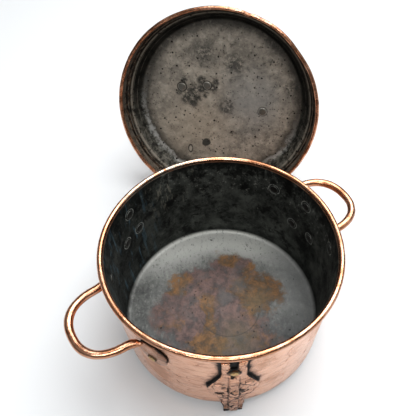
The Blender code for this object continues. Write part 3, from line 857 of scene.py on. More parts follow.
def build_lid_handle(place):
    base = LID_DEPTH + LID_SHEET + GAP
    start, end = (np.array(p) for p in LID_HANDLE_FEET)
    half = np.linalg.norm(end - start) / 2
    along = unit(end - start)
    loop = superellipse(half - 0.0115, LID_HANDLE_RISE, 2.6, math.pi, 0.0, 61)
    middle = (start + end) / 2
    path = [(*(middle + along * x), base + 0.0010 + rise) for x, rise in loop]
    path, _ = resample(np.array(path), np.ones(len(path)), 120)
    rng = np.random.default_rng(71)
    wave = np.interp(np.linspace(0, 1, 120), np.linspace(0, 1, 8), rng.uniform(-1, 1, 8))
    solids = [swept(path, LID_ROD * (1 + 0.05 * wave), 22)]
    for foot, way in ((start, along), (end, -along)):
        oval = superellipse(0.0115 * 1.3, 0.0115, 2.1, 0, math.tau, 49)[:-1]
        across = np.array([-way[1], way[0]])
        spot = foot + way * 0.0035
        outline = spot + oval[:, :1] * way + oval[:, 1:] * across
        if outline_area(outline) < 0:
            outline = outline[::-1]
        solids.append(
            plate(
                outline,
                lambda x, y, rho: np.full_like(x, base),
                lambda x, y, rho: base + 0.003 * (1 - 0.45 * rho**4),
            )
        )
    obj = fused("lid_handle_forged", solids, 0.00062, 7)
    points, moved = forged(obj, 0.0085, 0.00022, 73)
    grime_and_shade = np.zeros(len(points))
    for foot in (start, end):
        d = np.hypot(points[:, 0] - foot[0], points[:, 1] - foot[1])
        low = smoothstep(0.0048, 0.0015, points[:, 2] - base)
        grime_and_shade = np.maximum(grime_and_shade, np.exp(-(((d - 0.0068) / 0.0012) ** 2)) * low)
    paint(obj, "place", points)
    paint(obj, "grime_and_shade", grime_and_shade)
    set_points(obj, moved)
    obj.data.transform(place)
    return obj


def outline_area(outline):
    x, y = outline.T
    return 0.5 * (x * np.roll(y, -1) - np.roll(x, -1) * y).sum()


# ---------------------------------------------------------------- materials


class Tree:
    """A material's nodes, with short ways to add and join them."""

    def __init__(self, name):
        self.material = bpy.data.materials.new(name)
        self.material.use_nodes = True
        self.nodes = self.material.node_tree.nodes
        self.links = self.material.node_tree.links
        self.shader = self.nodes["Principled BSDF"]

    def feed(self, socket, value):
        if isinstance(value, bpy.types.NodeSocket):
            self.links.new(value, socket)
        elif isinstance(value, tuple) and len(value) == 3 and socket.type == "RGBA":
            socket.default_value = (*value, 1.0)
        else:
            socket.default_value = value

    def add(self, kind, **settings):
        node = self.nodes.new(kind)
        for key, value in settings.items():
            setattr(node, key, value)
        return node

    def attribute(self, name, output="Fac"):
        return self.add("ShaderNodeAttribute", attribute_name=name).outputs[output]

    def place(self):
        return self.attribute("place", "Vector")

    def math(self, operation, a, b=0.0, clamp=False):
        node = self.add("ShaderNodeMath", operation=operation, use_clamp=clamp)
        self.feed(node.inputs[0], a)
        self.feed(node.inputs[1], b)
        return node.outputs[0]

    def scaled(self, value, factor, offset):
        node = self.add("ShaderNodeMath", operation="MULTIPLY_ADD")
        self.feed(node.inputs[0], value)
        node.inputs[1].default_value = factor
        node.inputs[2].default_value = offset
        return node.outputs[0]

    def vector(self, operation, a, b=(0.0, 0.0, 0.0)):
        node = self.add("ShaderNodeVectorMath", operation=operation)
        self.feed(node.inputs[0], a)
        self.feed(node.inputs[1], b)
        return node.outputs["Value" if operation in ("LENGTH", "DISTANCE") else "Vector"]

    def noise(self, vector, scale, detail=4.0, roughness=0.55, distortion=0.0):
        node = self.add("ShaderNodeTexNoise")
        self.feed(node.inputs["Vector"], vector)
        node.inputs["Scale"].default_value = scale
        node.inputs["Detail"].default_value = detail
        node.inputs["Roughness"].default_value = roughness
        node.inputs["Distortion"].default_value = distortion
        return node.outputs["Fac"]

    def cells(self, vector, scale, feature="F1", randomness=1.0):
        node = self.add("ShaderNodeTexVoronoi", feature=feature)
        self.feed(node.inputs["Vector"], vector)
        node.inputs["Scale"].default_value = scale
        node.inputs["Randomness"].default_value = randomness
        return node.outputs["Distance"]

    def step(self, value, low, high):
        """0 below low and 1 above high, or the other way round when low is above high."""
        node = self.add("ShaderNodeMapRange", interpolation_type="SMOOTHSTEP")
        self.feed(node.inputs["Value"], value)
        flip = low > high
        node.inputs["From Min"].default_value = min(low, high)
        node.inputs["From Max"].default_value = max(low, high)
        node.inputs["To Min"].default_value = 1.0 if flip else 0.0
        node.inputs["To Max"].default_value = 0.0 if flip else 1.0
        return node.outputs["Result"]

    def mix(self, share, a, b):
        node = self.add("ShaderNodeMix", data_type="RGBA")
        self.feed(node.inputs["Factor"], share)
        self.feed(node.inputs[6], a)
        self.feed(node.inputs[7], b)
        return node.outputs[2]

    def blend(self, share, a, b):
        node = self.add("ShaderNodeMix", data_type="FLOAT")
        self.feed(node.inputs["Factor"], share)
        self.feed(node.inputs[2], a)
        self.feed(node.inputs[3], b)
        return node.outputs[0]

    def split(self, vector):
        node = self.add("ShaderNodeSeparateXYZ")
        self.feed(node.inputs[0], vector)
        return node.outputs

    def stretched(self, vector, factors):
        return self.vector("MULTIPLY", vector, factors)

    def wobble(self, vector, scale, amount):
        """The vector, moved about by smooth noise."""
        node = self.add("ShaderNodeTexNoise")
        self.feed(node.inputs["Vector"], vector)
        node.inputs["Scale"].default_value = scale
        node.inputs["Detail"].default_value = 3.0
        centred = self.vector("SUBTRACT", node.outputs["Color"], (0.5, 0.5, 0.5))
        return self.vector("ADD", vector, self.stretched(centred, (amount,) * 3))

    def spot(self, vector, centre, radius, soft, squash=(1.0, 1.0)):
        """1 inside a round mark on a face across Z, 0 outside."""
        away = self.vector("SUBTRACT", vector, (*centre, 0.0))
        away = self.stretched(away, (1 / squash[0], 1 / squash[1], 0.0))
        return self.step(self.vector("LENGTH", away), radius + soft, radius - soft)

    def ring(self, vector, centre, radius, width, squash=(1.0, 1.0)):
        """1 on a thin circle on a face across Z."""
        away = self.vector("SUBTRACT", vector, (*centre, 0.0))
        away = self.stretched(away, (1 / squash[0], 1 / squash[1], 0.0))
        off = self.math("SUBTRACT", self.vector("LENGTH", away), radius)
        return self.step(self.math("ABSOLUTE", off), width, width * 0.25)

    def most(self, values):
        best = values[0]
        for value in values[1:]:
            best = self.math("MAXIMUM", best, value)
        return best

    def bump(self, height, distance, strength=1.0):
        node = self.add("ShaderNodeBump")
        node.inputs["Distance"].default_value = distance
        node.inputs["Strength"].default_value = strength
        self.feed(node.inputs["Height"], height)
        self.feed(self.shader.inputs["Normal"], node.outputs[0])

    def finish(self, colour, metallic, roughness, specular=0.5):
        self.feed(self.shader.inputs["Base Color"], colour)
        self.feed(self.shader.inputs["Specular IOR Level"], specular)
        self.feed(self.shader.inputs["Metallic"], metallic)
        self.feed(self.shader.inputs["Roughness"], roughness)
        return self.material


def copper_layers(tree, place, grime_and_shade, warmth=0.5, depth=0.0):
    """Colour, metal share and roughness of worn, hand-polished copper, dark where the painted mask of soot and
    shade is 1.
    """
    bands = tree.stretched(place, (1.0, 1.0, 9.0))
    streaks = tree.noise(tree.wobble(bands, 12.0, 0.02), 46.0, 6.0, 0.66)
    patches = tree.noise(place, 24.0, 4.0, 0.6, 0.6)
    warm = tree.mix(tree.step(patches, 0.35, 0.68), PINK_COPPER, ORANGE_COPPER)
    warm = tree.mix(warmth, PINK_COPPER, warm)
    warm = tree.mix(tree.math("MULTIPLY", tree.step(streaks, 0.50, 0.72), 0.45), warm, PALE_COPPER)
    brushed = tree.math("MULTIPLY", tree.step(streaks, 0.50, 0.36), tree.scaled(depth, 1.0, 0.46))
    warm = tree.mix(brushed, warm, BROWN_COPPER)
    blotch = tree.noise(tree.wobble(place, 60.0, 0.01), 75.0, 6.0, 0.7)
    cloud = tree.noise(tree.wobble(place, 20.0, 0.03), 17.0, 5.0, 0.62)
    tarnish = tree.math("MULTIPLY", tree.step(blotch, 0.54, 0.72), 0.55)
    stain = tree.math("MULTIPLY", tree.step(cloud, 0.50, 0.68), 0.46)
    tarnish = tree.math("MAXIMUM", tarnish, stain)
    warm = tree.mix(tarnish, warm, BROWN_COPPER)
    warm = tree.mix(depth, warm, BROWN_COPPER)
    ragged = tree.math("ADD", grime_and_shade, tree.scaled(blotch, 1.50, -0.78))
    halo = tree.math("MULTIPLY", tree.step(ragged, 0.06, 0.52), 0.72)
    warm = tree.mix(halo, warm, UMBER)
    dirt = tree.step(ragged, 0.42, 0.70)
    colour = tree.mix(dirt, warm, SOOT)
    fine = tree.noise(tree.stretched(place, (1.0, 1.0, 5.0)), 320.0, 3.0, 0.6)
    rough = tree.blend(tree.step(fine, 0.3, 0.75), 0.15, 0.27)
    rough = tree.blend(tree.step(tarnish, 0.0, 0.5), rough, 0.40)
    rough = tree.blend(dirt, rough, 0.75)
    metal = tree.blend(dirt, 1.0, 0.15)
    return colour, metal, rough, tree.math("ADD", blotch, tree.scaled(streaks, 0.5, 0.0))


def tin_layers(tree, place, light, dark):
    """Colour, metal share and roughness of old tinning, from dark to light grey."""
    cloud = tree.noise(tree.wobble(place, 30.0, 0.02), 38.0, 7.0, 0.72)
    grain = tree.noise(place, 420.0, 4.0, 0.7)
    colour = tree.mix(tree.step(cloud, 0.32, 0.72), dark, light)
    pits = tree.cells(tree.wobble(place, 200.0, 0.004), 130.0)
    chosen = tree.noise(place, 55.0, 2.0)
    specks = tree.math("MULTIPLY", tree.step(pits, 0.20, 0.08), tree.step(chosen, 0.47, 0.60))
    return colour, cloud, grain, specks


PINK_COPPER = (0.93, 0.56, 0.395)
ORANGE_COPPER = (0.72, 0.345, 0.195)
PALE_COPPER = (0.95, 0.67, 0.52)
BROWN_COPPER = (0.26, 0.115, 0.058)
UMBER = (0.12, 0.055, 0.03)
SOOT = (0.012, 0.009, 0.008)


def copper_material(name, warmth, bump=0.00012, cracked=False, depth=0.0):
    tree = Tree(name)
    place = tree.place()
    grime_and_shade = tree.attribute("grime_and_shade")
    if cracked:
        web = tree.cells(tree.wobble(place, 90.0, 0.012), 95.0, "DISTANCE_TO_EDGE")
        chosen = tree.step(tree.noise(place, 55.0, 4.0, 0.65), 0.40, 0.53)
        crack = tree.math("MULTIPLY", tree.step(web, 0.095, 0.015), chosen)
        grime_and_shade = tree.math("ADD", grime_and_shade, tree.math("MULTIPLY", crack, 0.62))
    colour, metal, rough, blotch = copper_layers(tree, place, grime_and_shade, warmth, depth)
    fine = tree.noise(place, 900.0, 3.0, 0.6)
    tree.bump(tree.math("ADD", fine, blotch), bump)
    return tree.finish(colour, metal, rough)


def place_flat(tree, place):
    return tree.stretched(place, (1.0, 1.0, 0.0))


def wall_point(azimuth, z):
    return (wall_inner(z) * math.cos(azimuth), wall_inner(z) * math.sin(azimuth), z)


def rivet_rings(tree, place, wall):
    """A dark disc where a rivet was set from inside, with a pale ring round it painted as a highlight on the
    head's edge.
    """
    near = tree.wobble(place, 150.0, 0.0016)
    patchy = tree.noise(place, 260.0, 4.0, 0.7)
    name = "handle_right"
    spots = [
        wall_point(math.radians(HANDLES[name] + side * PALM_AZIMUTH), HANDLE_RIVET_Z[name])
        for side in (-1, 1)
    ]
    for name, azimuth in FEET.items():
        for x, z in FOOT_RIVETS[name].values():
            spots.append(wall_point(math.radians(azimuth) + x / wall_outer(z), z))
    for spot in spots:
        away = tree.vector("DISTANCE", near, spot)
        disc = tree.math("MULTIPLY", tree.step(away, 0.0082, 0.0074), 0.70)
        wall = tree.mix(disc, wall, (0.008, 0.009, 0.009))
        # The pale ring is a painted highlight.
        off = tree.math("ABSOLUTE", tree.math("SUBTRACT", away, 0.0079))
        pale = tree.math("MULTIPLY", tree.step(off, 0.0010, 0.0003), tree.step(patchy, 0.34, 0.52))
        wall = tree.mix(tree.math("MULTIPLY", pale, 0.80), wall, (0.30, 0.31, 0.29))
    return wall


def pot_wall_tin(tree, place, wall):
    """Sooty tinning with pale chips under the rim and bluish runs down the left."""
    x, y, z = tree.split(place)
    chips = tree.noise(tree.wobble(place, 160.0, 0.003), 210.0, 6.0, 0.75)
    rising = tree.step(z, 0.045, 0.135)
    chip = tree.step(tree.math("ADD", chips, tree.scaled(rising, 0.09, -0.045)), 0.595, 0.66)
    wall = tree.mix(tree.math("MULTIPLY", chip, 0.55), wall, (0.30, 0.30, 0.275))
    behind = tree.spot(tree.wobble(place, 25.0, 0.03), (-0.062, 0.116), 0.040, 0.025)
    runs = tree.noise(tree.stretched(place, (1.0, 1.0, 0.25)), 190.0, 5.0, 0.7)
    run = tree.math("MULTIPLY", tree.step(runs, 0.54, 0.64), tree.math("MULTIPLY", behind, rising))
    wall = tree.mix(tree.math("MULTIPLY", run, 0.45), wall, (0.36, 0.34, 0.28))
    hang = tree.noise(tree.stretched(tree.wobble(place, 60.0, 0.008), (1.0, 1.0, 0.45)), 85.0, 5.0, 0.7)
    hang = tree.step(tree.math("ADD", hang, tree.scaled(tree.step(z, 0.105, 0.150), 0.22, -0.10)), 0.50, 0.60)
    wall = tree.mix(tree.math("MULTIPLY", hang, 0.75), wall, (0.006, 0.006, 0.006))
    dark = tree.noise(tree.wobble(place, 80.0, 0.01), 46.0, 6.0, 0.72)
    wall = tree.mix(tree.math("MULTIPLY", tree.step(dark, 0.50, 0.62), 0.85), wall, (0.006, 0.006, 0.006))
    # Darker towards the left.
    wall = tree.mix(tree.math("MULTIPLY", tree.step(x, -0.050, -0.120), 0.45), wall, (0.006, 0.008, 0.009))
    drips = tree.noise(tree.stretched(place, (1.0, 1.0, 0.16)), 150.0, 4.0, 0.6)
    drip = tree.math("MULTIPLY", tree.step(drips, 0.54, 0.68), tree.step(x, -0.060, -0.115))
    wall = tree.mix(tree.math("MULTIPLY", drip, 0.6), wall, (0.085, 0.150, 0.190))
    return rivet_rings(tree, place, wall)


def pot_floor(tree, place, cloud):
    """Grey tinning, painted lighter at the far edge and darker on the near side as light and shade, round a
    patch where heat has turned the metal pink and brown.
    """
    x, y, z = tree.split(place)
    grey = tree.mix(tree.step(cloud, 0.30, 0.70), (0.060, 0.062, 0.060), (0.165, 0.168, 0.160))
    # Painted shade: the near side of the floor, under the near wall, is darker, and its pale scuffs fainter.
    near = tree.step(y, 0.010, -0.065)
    grey = tree.mix(tree.math("MULTIPLY", near, 0.80), grey, (0.046, 0.048, 0.050))
    edge = tree.vector("LENGTH", tree.stretched(tree.wobble(place, 30.0, 0.012), (1.0, 1.0, 0.0)))
    # Painted light: the far edge of the floor is lighter.
    far_edge_light = tree.math("MULTIPLY", tree.step(edge, 0.062, 0.108), tree.step(y, 0.030, 0.100))
    grey = tree.mix(tree.math("MULTIPLY", far_edge_light, 0.85), grey, (0.50, 0.505, 0.475))
    scuffs = tree.noise(tree.stretched(tree.wobble(place, 40.0, 0.012), (1.9, 1.0, 1.0)), 130.0, 7.0, 0.78)
    pale = tree.math("MULTIPLY", tree.step(scuffs, 0.52, 0.66), tree.blend(near, 0.36, 0.12))
    grey = tree.mix(pale, grey, (0.36, 0.36, 0.335))
    grey = tree.mix(tree.math("MULTIPLY", tree.step(scuffs, 0.48, 0.34), 0.55), grey, (0.035, 0.037, 0.036))

    moved = tree.wobble(tree.wobble(place, 26.0, 0.034), 95.0, 0.014)
    flat = tree.stretched(moved, (1.0, 1.0, 0.0))

    def area(centre, radius, soft, squash=(1.0, 1.0)):
        return tree.spot(flat, centre, radius, soft, squash)

    mottle = tree.noise(tree.wobble(place, 60.0, 0.012), 70.0, 7.0, 0.74)
    whole = tree.most(
        [
            area((-0.012, -0.004), 0.074, 0.020),
            area((0.020, 0.052), 0.034, 0.016),
            area((0.010, -0.060), 0.062, 0.018),
            area((-0.064, -0.008), 0.030, 0.014),
            area((0.052, 0.014), 0.036, 0.016),
        ]
    )
    patch = tree.step(tree.math("ADD", tree.scaled(whole, 0.50, -0.25), mottle), 0.42, 0.72)
    brown = tree.most(
        [
            area((0.058, 0.040), 0.028, 0.012),
            area((0.056, 0.006), 0.034, 0.014),
            area((-0.062, 0.040), 0.019, 0.010, (1.3, 0.8)),
            area((-0.018, -0.014), 0.018, 0.010, (0.45, 1.2)),
            area((-0.030, -0.062), 0.026, 0.012),
            area((0.016, 0.080), 0.014, 0.008),
        ]
    )
    pink = tree.mix(tree.step(mottle, 0.34, 0.66), (0.044, 0.033, 0.033), (0.148, 0.092, 0.080))
    rust = tree.mix(tree.step(mottle, 0.34, 0.66), (0.052, 0.033, 0.017), (0.190, 0.096, 0.034))
    shade = tree.noise(tree.vector("ADD", moved, (0.3, 0.1, 0.0)), 30.0, 5.0, 0.65)
    share = tree.step(tree.math("ADD", tree.scaled(brown, 0.30, -0.13), shade), 0.40, 0.60)
    stained = tree.mix(share, pink, rust)
    worn_through = tree.most(
        [area((0.004, 0.014), 0.011, 0.007), area((0.029, 0.031), 0.009, 0.006, (0.8, 1.2))]
    )
    stained = tree.mix(tree.math("MULTIPLY", worn_through, 0.65), stained, (0.072, 0.077, 0.076))
    olive = tree.most([area((0.014, -0.052), 0.026, 0.020), area((0.052, 0.002), 0.016, 0.014)])
    stained = tree.mix(tree.math("MULTIPLY", olive, 0.55), stained, (0.098, 0.082, 0.048))
    thin = tree.step(tree.noise(moved, 52.0, 6.0, 0.72), 0.50, 0.64)
    stained = tree.mix(tree.math("MULTIPLY", thin, 0.40), stained, (0.076, 0.076, 0.074))
    blots = tree.step(tree.noise(moved, 64.0, 5.0, 0.7), 0.60, 0.68)
    stained = tree.mix(tree.math("MULTIPLY", blots, 0.75), stained, (0.040, 0.038, 0.038))
    # Painted light: the right of the floor, near the front, is lighter.
    right_side_light = tree.math("MULTIPLY", tree.step(x, 0.055, 0.105), tree.step(y, -0.070, -0.010))
    grey = tree.mix(tree.math("MULTIPLY", right_side_light, 0.55), grey, (0.225, 0.230, 0.225))
    floor = tree.mix(tree.math("MULTIPLY", patch, 0.90), grey, stained)
    scratch = tree.ring(tree.wobble(place, 14.0, 0.004), (0.010, -0.004), 0.0415, 0.0011)
    scratch = tree.math("MULTIPLY", scratch, tree.step(y, -0.008, -0.024))
    return tree.mix(tree.math("MULTIPLY", scratch, 0.55), floor, (0.035, 0.032, 0.030))


def pot_material():
    """Polished copper outside and old tinning inside, with worn, stained patches on the floor."""
    tree = Tree("pot_metal")
    place = tree.place()
    x, y, z = tree.split(place)
    warmth = tree.blend(tree.step(z, 0.1415, 0.1440), 0.35, 1.0)
    copper, copper_metal, copper_rough, blotch = copper_layers(
        tree, place, tree.attribute("grime_and_shade"), warmth, tree.blend(warmth, -0.20, 0.38)
    )
    # the rim's tinning shows through, nicked, at the back left
    rubbed = tree.spot(place_flat(tree, place), (-0.070, 0.118), 0.056, 0.030)
    rubbed = tree.math("MULTIPLY", rubbed, tree.step(z, 0.1435, 0.1460))
    wear = tree.noise(tree.wobble(place, 120.0, 0.004), 190.0, 5.0, 0.7)
    shows = tree.math("MULTIPLY", rubbed, tree.step(wear, 0.40, 0.54))
    copper = tree.mix(tree.math("MULTIPLY", shows, 0.85), copper, (0.50, 0.47, 0.41))
    nick = tree.math("MULTIPLY", rubbed, tree.step(wear, 0.60, 0.66))
    copper = tree.mix(tree.math("MULTIPLY", nick, 0.85), copper, UMBER)
    wall, cloud, grain, specks = tin_layers(tree, place, (0.105, 0.112, 0.102), (0.020, 0.022, 0.020))
    tin = tree.mix(tree.step(z, 0.0085, 0.0035), pot_wall_tin(tree, place, wall), pot_floor(tree, place, cloud))
    # Painted shade in the corner between the floor and the wall.
    corner = tree.math("MULTIPLY", tree.step(z, 0.020, 0.006), tree.step(z, 0.0022, 0.0075))
    tin = tree.mix(tree.math("MULTIPLY", corner, 0.45), tin, (0.012, 0.013, 0.012))
    tin = tree.mix(tree.math("MULTIPLY", specks, 0.8), tin, (0.004, 0.004, 0.004))
    is_floor = tree.step(z, 0.0085, 0.0035)
    tin_rough = tree.blend(tree.step(grain, 0.3, 0.7), 0.42, 0.62)
    inner = tree.attribute("tin")
    colour = tree.mix(inner, copper, tin)
    metal = tree.blend(inner, copper_metal, tree.blend(is_floor, 0.20, 0.25))
    rough = tree.blend(inner, copper_rough, tin_rough)
    specular = tree.blend(inner, 0.5, tree.blend(is_floor, 0.06, 0.30))
    tree.bump(tree.math("ADD", grain, blotch), 0.00022)
    return tree.finish(colour, metal, rough, specular)


def lid_material():
    """Copper rim and outside, tinned inside with the lid's stains, rings and pits."""
    tree = Tree("lid_metal")
    place = tree.place()
    x, y, z = tree.split(place)
    radius = tree.vector("LENGTH", tree.stretched(place, (1.0, 1.0, 0.0)))
    outer_grime = tree.math("MULTIPLY", tree.step(radius, 0.120, 0.140), 0.32)
    top = tree.math("MULTIPLY", tree.step(z, 0.006, 0.016), tree.step(tree.attribute("tin"), 0.6, 0.4))
    copper, copper_metal, copper_rough, blotch = copper_layers(
        tree, place, outer_grime, 0.8, tree.blend(top, 0.12, 0.34)
    )
    copper_rough = tree.blend(tree.math("MULTIPLY", top, 0.75), copper_rough, 0.50)
    disc, cloud, grain, specks = tin_layers(tree, place, (0.400, 0.362, 0.304), (0.185, 0.170, 0.146))
    mottle = tree.noise(tree.wobble(place, 70.0, 0.010), 95.0, 7.0, 0.78)
    disc = tree.mix(tree.math("MULTIPLY", tree.step(mottle, 0.52, 0.64), 0.45), disc, (0.50, 0.462, 0.395))
    disc = tree.mix(tree.math("MULTIPLY", tree.step(mottle, 0.47, 0.35), 0.72), disc, (0.050, 0.046, 0.040))
    cool = tree.spot(tree.wobble(place, 18.0, 0.05), mark(0.34, 0.06), 0.040, 0.034)
    disc = tree.mix(tree.math("MULTIPLY", cool, 0.5), disc, (0.295, 0.305, 0.300))
    warm = tree.spot(tree.wobble(place, 18.0, 0.05), mark(-0.30, -0.28), 0.045, 0.040)
    disc = tree.mix(tree.math("MULTIPLY", warm, 0.45), disc, (0.375, 0.322, 0.250))
    ragged = tree.wobble(tree.wobble(place, 55.0, 0.011), 210.0, 0.007)
    outer = tree.vector("LENGTH", tree.stretched(ragged, (1.0, 1.0, 0.0)))
    # A dark ragged band round the disc's edge: painted shade from the drum wall, with dark stains.
    edge_shade_and_stain = tree.math("MULTIPLY", tree.step(outer, 0.104, 0.121), tree.step(mottle, 0.30, 0.50))
    disc = tree.mix(tree.math("MULTIPLY", edge_shade_and_stain, 0.88), disc, (0.026, 0.025, 0.022))
    sheen = tree.math("MULTIPLY", tree.step(outer, 0.1165, 0.1205), tree.step(outer, 0.1275, 0.1225))
    sheen_side = tree.spot(place, mark(-0.62, -0.62), 0.085, 0.060)
    far_side = tree.math("MULTIPLY", tree.spot(place, mark(0.66, -0.60), 0.050, 0.045), 0.8)
    sheen = tree.math("MULTIPLY", sheen, tree.math("MAXIMUM", sheen_side, far_side))
    sheen = tree.math("MULTIPLY", sheen, tree.step(mottle, 0.36, 0.52))
    on_disc = tree.step(radius, 0.1255, 0.1215)
    # The drum wall is painted lit on its lower side and shaded above: lit and shaded copies of the same tin.
    lit_side = tree.step(y, -0.045, 0.105)
    shaded_wall_tin = tree.mix(tree.step(cloud, 0.35, 0.7), (0.006, 0.006, 0.005), (0.028, 0.027, 0.023))
    lit = tree.mix(tree.step(mottle, 0.40, 0.62), (0.030, 0.030, 0.027), (0.155, 0.150, 0.130))
    wall = tree.mix(lit_side, shaded_wall_tin, lit)
    skirt = tree.noise(tree.stretched(tree.wobble(place, 40.0, 0.004), (1.0, 1.0, 3.4)), 95.0, 5.0, 0.7)
    brown = tree.mix(tree.step(skirt, 0.44, 0.62), (0.010, 0.009, 0.008), (0.105, 0.072, 0.050))
    wall = tree.mix(tree.step(z, 0.0215, 0.0175), wall, brown)
    # Pale lines on the shoulder's two edges are painted highlights.
    shoulder = tree.math("ABSOLUTE", tree.math("SUBTRACT", radius, 0.1362))
    edge = tree.math("MULTIPLY", tree.step(shoulder, 0.0016, 0.0004), tree.step(mottle, 0.34, 0.50))
    wall = tree.mix(tree.math("MULTIPLY", edge, 0.75), wall, (0.28, 0.255, 0.215))
    lower_shoulder_highlight = tree.math("ABSOLUTE", tree.math("SUBTRACT", radius, 0.1431))
    lower_shoulder_highlight = tree.math("MULTIPLY", tree.step(lower_shoulder_highlight, 0.0011, 0.0003), tree.step(mottle, 0.38, 0.52))
    wall = tree.mix(tree.math("MULTIPLY", lower_shoulder_highlight, 0.55), wall, (0.24, 0.215, 0.18))
    # Fine pale concentric lines on the wall.
    for at, width, share in ((0.1398, 0.0008, 0.42), (0.1342, 0.0006, 0.30), (0.1300, 0.0007, 0.24)):
        off = tree.math("ABSOLUTE", tree.math("SUBTRACT", radius, at))
        worn = tree.math("MULTIPLY", tree.step(off, width, width * 0.3), tree.step(mottle, 0.40, 0.54))
        wall = tree.mix(tree.math("MULTIPLY", worn, share), wall, (0.26, 0.24, 0.205))
    # The disc and the drum wall are the same tin: the disc is painted lighter as light falling on it, and the
    # wall darker as painted shade.
    tin = tree.mix(on_disc, wall, disc)
    tin = tree.mix(tree.math("MULTIPLY", sheen, 0.80), tin, (0.44, 0.45, 0.43))
    near = tree.wobble(tree.wobble(place, 70.0, 0.006), 260.0, 0.0022)
    soft = tree.wobble(place, 140.0, 0.0012)
    cluster = [
        (-0.335, 0.080, 0.0100),
        (-0.292, 0.120, 0.0080),
        (-0.370, 0.020, 0.0085),
        (-0.262, 0.045, 0.0078),
        (-0.300, -0.020, 0.0062),
        (-0.215, 0.140, 0.0068),
        (-0.215, 0.235, 0.0065),
        (-0.095, 0.165, 0.0068),
        (-0.160, 0.085, 0.0052),
        (-0.405, 0.215, 0.0046),
        (-0.455, 0.085, 0.0050),
        (-0.060, 0.225, 0.0052),
    ]
    stains = [tree.spot(near, mark(u, v), r, r * 0.55) for u, v, r in cluster]
    haze = [
        tree.spot(near, mark(0.068, -0.031), 0.0120, 0.0060),
        tree.spot(near, mark(0.130, 0.440), 0.0150, 0.0130),
        tree.spot(near, mark(-0.20, 0.52), 0.0150, 0.0130),
        tree.spot(near, mark(0.75, 0.23), 0.0110, 0.0080),
    ]
    grit = tree.noise(place, 230.0, 5.0, 0.7)
    dark = tree.math("MULTIPLY", tree.most(stains), tree.step(grit, 0.34, 0.52))
    tin = tree.mix(tree.math("MULTIPLY", dark, 0.88), tin, (0.026, 0.028, 0.026))
    dim = tree.math("MULTIPLY", tree.most(haze), tree.step(grit, 0.38, 0.55))
    tin = tree.mix(tree.math("MULTIPLY", dim, 0.80), tin, (0.040, 0.042, 0.040))
    spot = tree.spot(near, mark(-0.140, -0.476), 0.0068, 0.0012)
    tin = tree.mix(tree.math("MULTIPLY", spot, 0.90), tin, (0.022, 0.026, 0.024))
    halo = tree.most(
        [
            tree.ring(soft, LID_HANDLE_FEET[0], 0.0072, 0.0013),
            tree.ring(soft, LID_PLUG, 0.0071, 0.0008),
            tree.ring(soft, mark(-0.320, -0.571), 0.0056, 0.0016, (0.62, 1.15)),
            tree.math("MULTIPLY", tree.ring(soft, LID_HANDLE_FEET[1], 0.0072, 0.0011), 0.6),
        ]
    )
    tin = tree.mix(tree.math("MULTIPLY", halo, 0.85), tin, (0.022, 0.022, 0.020))
    glint = tree.spot(soft, mark(-0.322, -0.575), 0.0036, 0.0010, (0.62, 1.15))
    tin = tree.mix(tree.math("MULTIPLY", glint, 0.6), tin, (0.40, 0.38, 0.33))
    tin = tree.mix(tree.math("MULTIPLY", specks, 0.85), tin, (0.012, 0.010, 0.009))
    pits = tree.cells(tree.vector("ADD", tree.wobble(place, 300.0, 0.002), (0.31, 0.17, 0.0)), 88.0)
    tin = tree.mix(tree.step(pits, 0.150, 0.090), tin, (0.010, 0.009, 0.008))
    freckles = tree.cells(tree.wobble(place, 400.0, 0.0015), 230.0)
    freckle = tree.math("MULTIPLY", tree.step(freckles, 0.26, 0.14), tree.step(mottle, 0.52, 0.46))
    tin = tree.mix(tree.math("MULTIPLY", freckle, 0.70), tin, (0.020, 0.018, 0.016))
    tin_rough = tree.blend(tree.step(grain, 0.3, 0.7), 0.40, 0.60)
    inner = tree.attribute("tin")
    colour = tree.mix(inner, copper, tin)
    metal = tree.blend(inner, copper_metal, tree.blend(on_disc, 0.25, 0.35))
    rough = tree.blend(inner, copper_rough, tin_rough)
    pitted = tree.math("SUBTRACT", tree.math("ADD", grain, blotch), specks)
    tree.bump(pitted, 0.00024)
    specular = tree.blend(inner, 0.5, tree.blend(on_disc, 0.06, 0.35))
    return tree.finish(colour, metal, rough, specular)


def rivet_material(name, outside, inside_highlight, inside_dark):
    """A copper head outside; inside, a tinned head with a painted highlight round its edge."""
    tree = Tree(name)
    place = tree.place()
    z = tree.split(place)[2]
    radius = tree.vector("LENGTH", tree.stretched(place, (1.0, 1.0, 0.0)))
    blotch = tree.noise(tree.wobble(place, 300.0, 0.002), 420.0, 5.0, 0.7)
    head = tree.mix(tree.step(blotch, 0.42, 0.68), outside, BROWN_COPPER)
    crust = tree.math("MULTIPLY", tree.step(radius, 0.0036, 0.0049), 0.82)
    head = tree.mix(crust, head, SOOT)
    # Painted highlight round the inner head's edge.
    rim = tree.math("ABSOLUTE", tree.math("SUBTRACT", radius, 0.0056))
    edge_highlight = tree.math("MULTIPLY", tree.step(rim, 0.0010, 0.0003), tree.step(blotch, 0.34, 0.48))
    back = tree.mix(tree.math("MULTIPLY", edge_highlight, 0.9), inside_dark, inside_highlight)
    inner = tree.step(z, 0.0004, -0.0001)
    colour = tree.mix(inner, head, back)
    metal = tree.blend(inner, tree.blend(crust, 1.0, 0.2), 0.5)
    rough = tree.blend(tree.step(blotch, 0.3, 0.7), 0.30, 0.55)
    tree.bump(blotch, 0.0001)
    return tree.finish(colour, metal, rough)


def iron_material():
    tree = Tree("rim_iron")
    place = tree.place()
    rust = tree.noise(place, 260.0, 5.0, 0.7)
    colour = tree.mix(tree.step(rust, 0.4, 0.65), (0.030, 0.026, 0.023), (0.095, 0.042, 0.022))
    tree.bump(rust, 0.0001)
    return tree.finish(colour, tree.step(rust, 0.65, 0.4), tree.blend(rust, 0.45, 0.8))


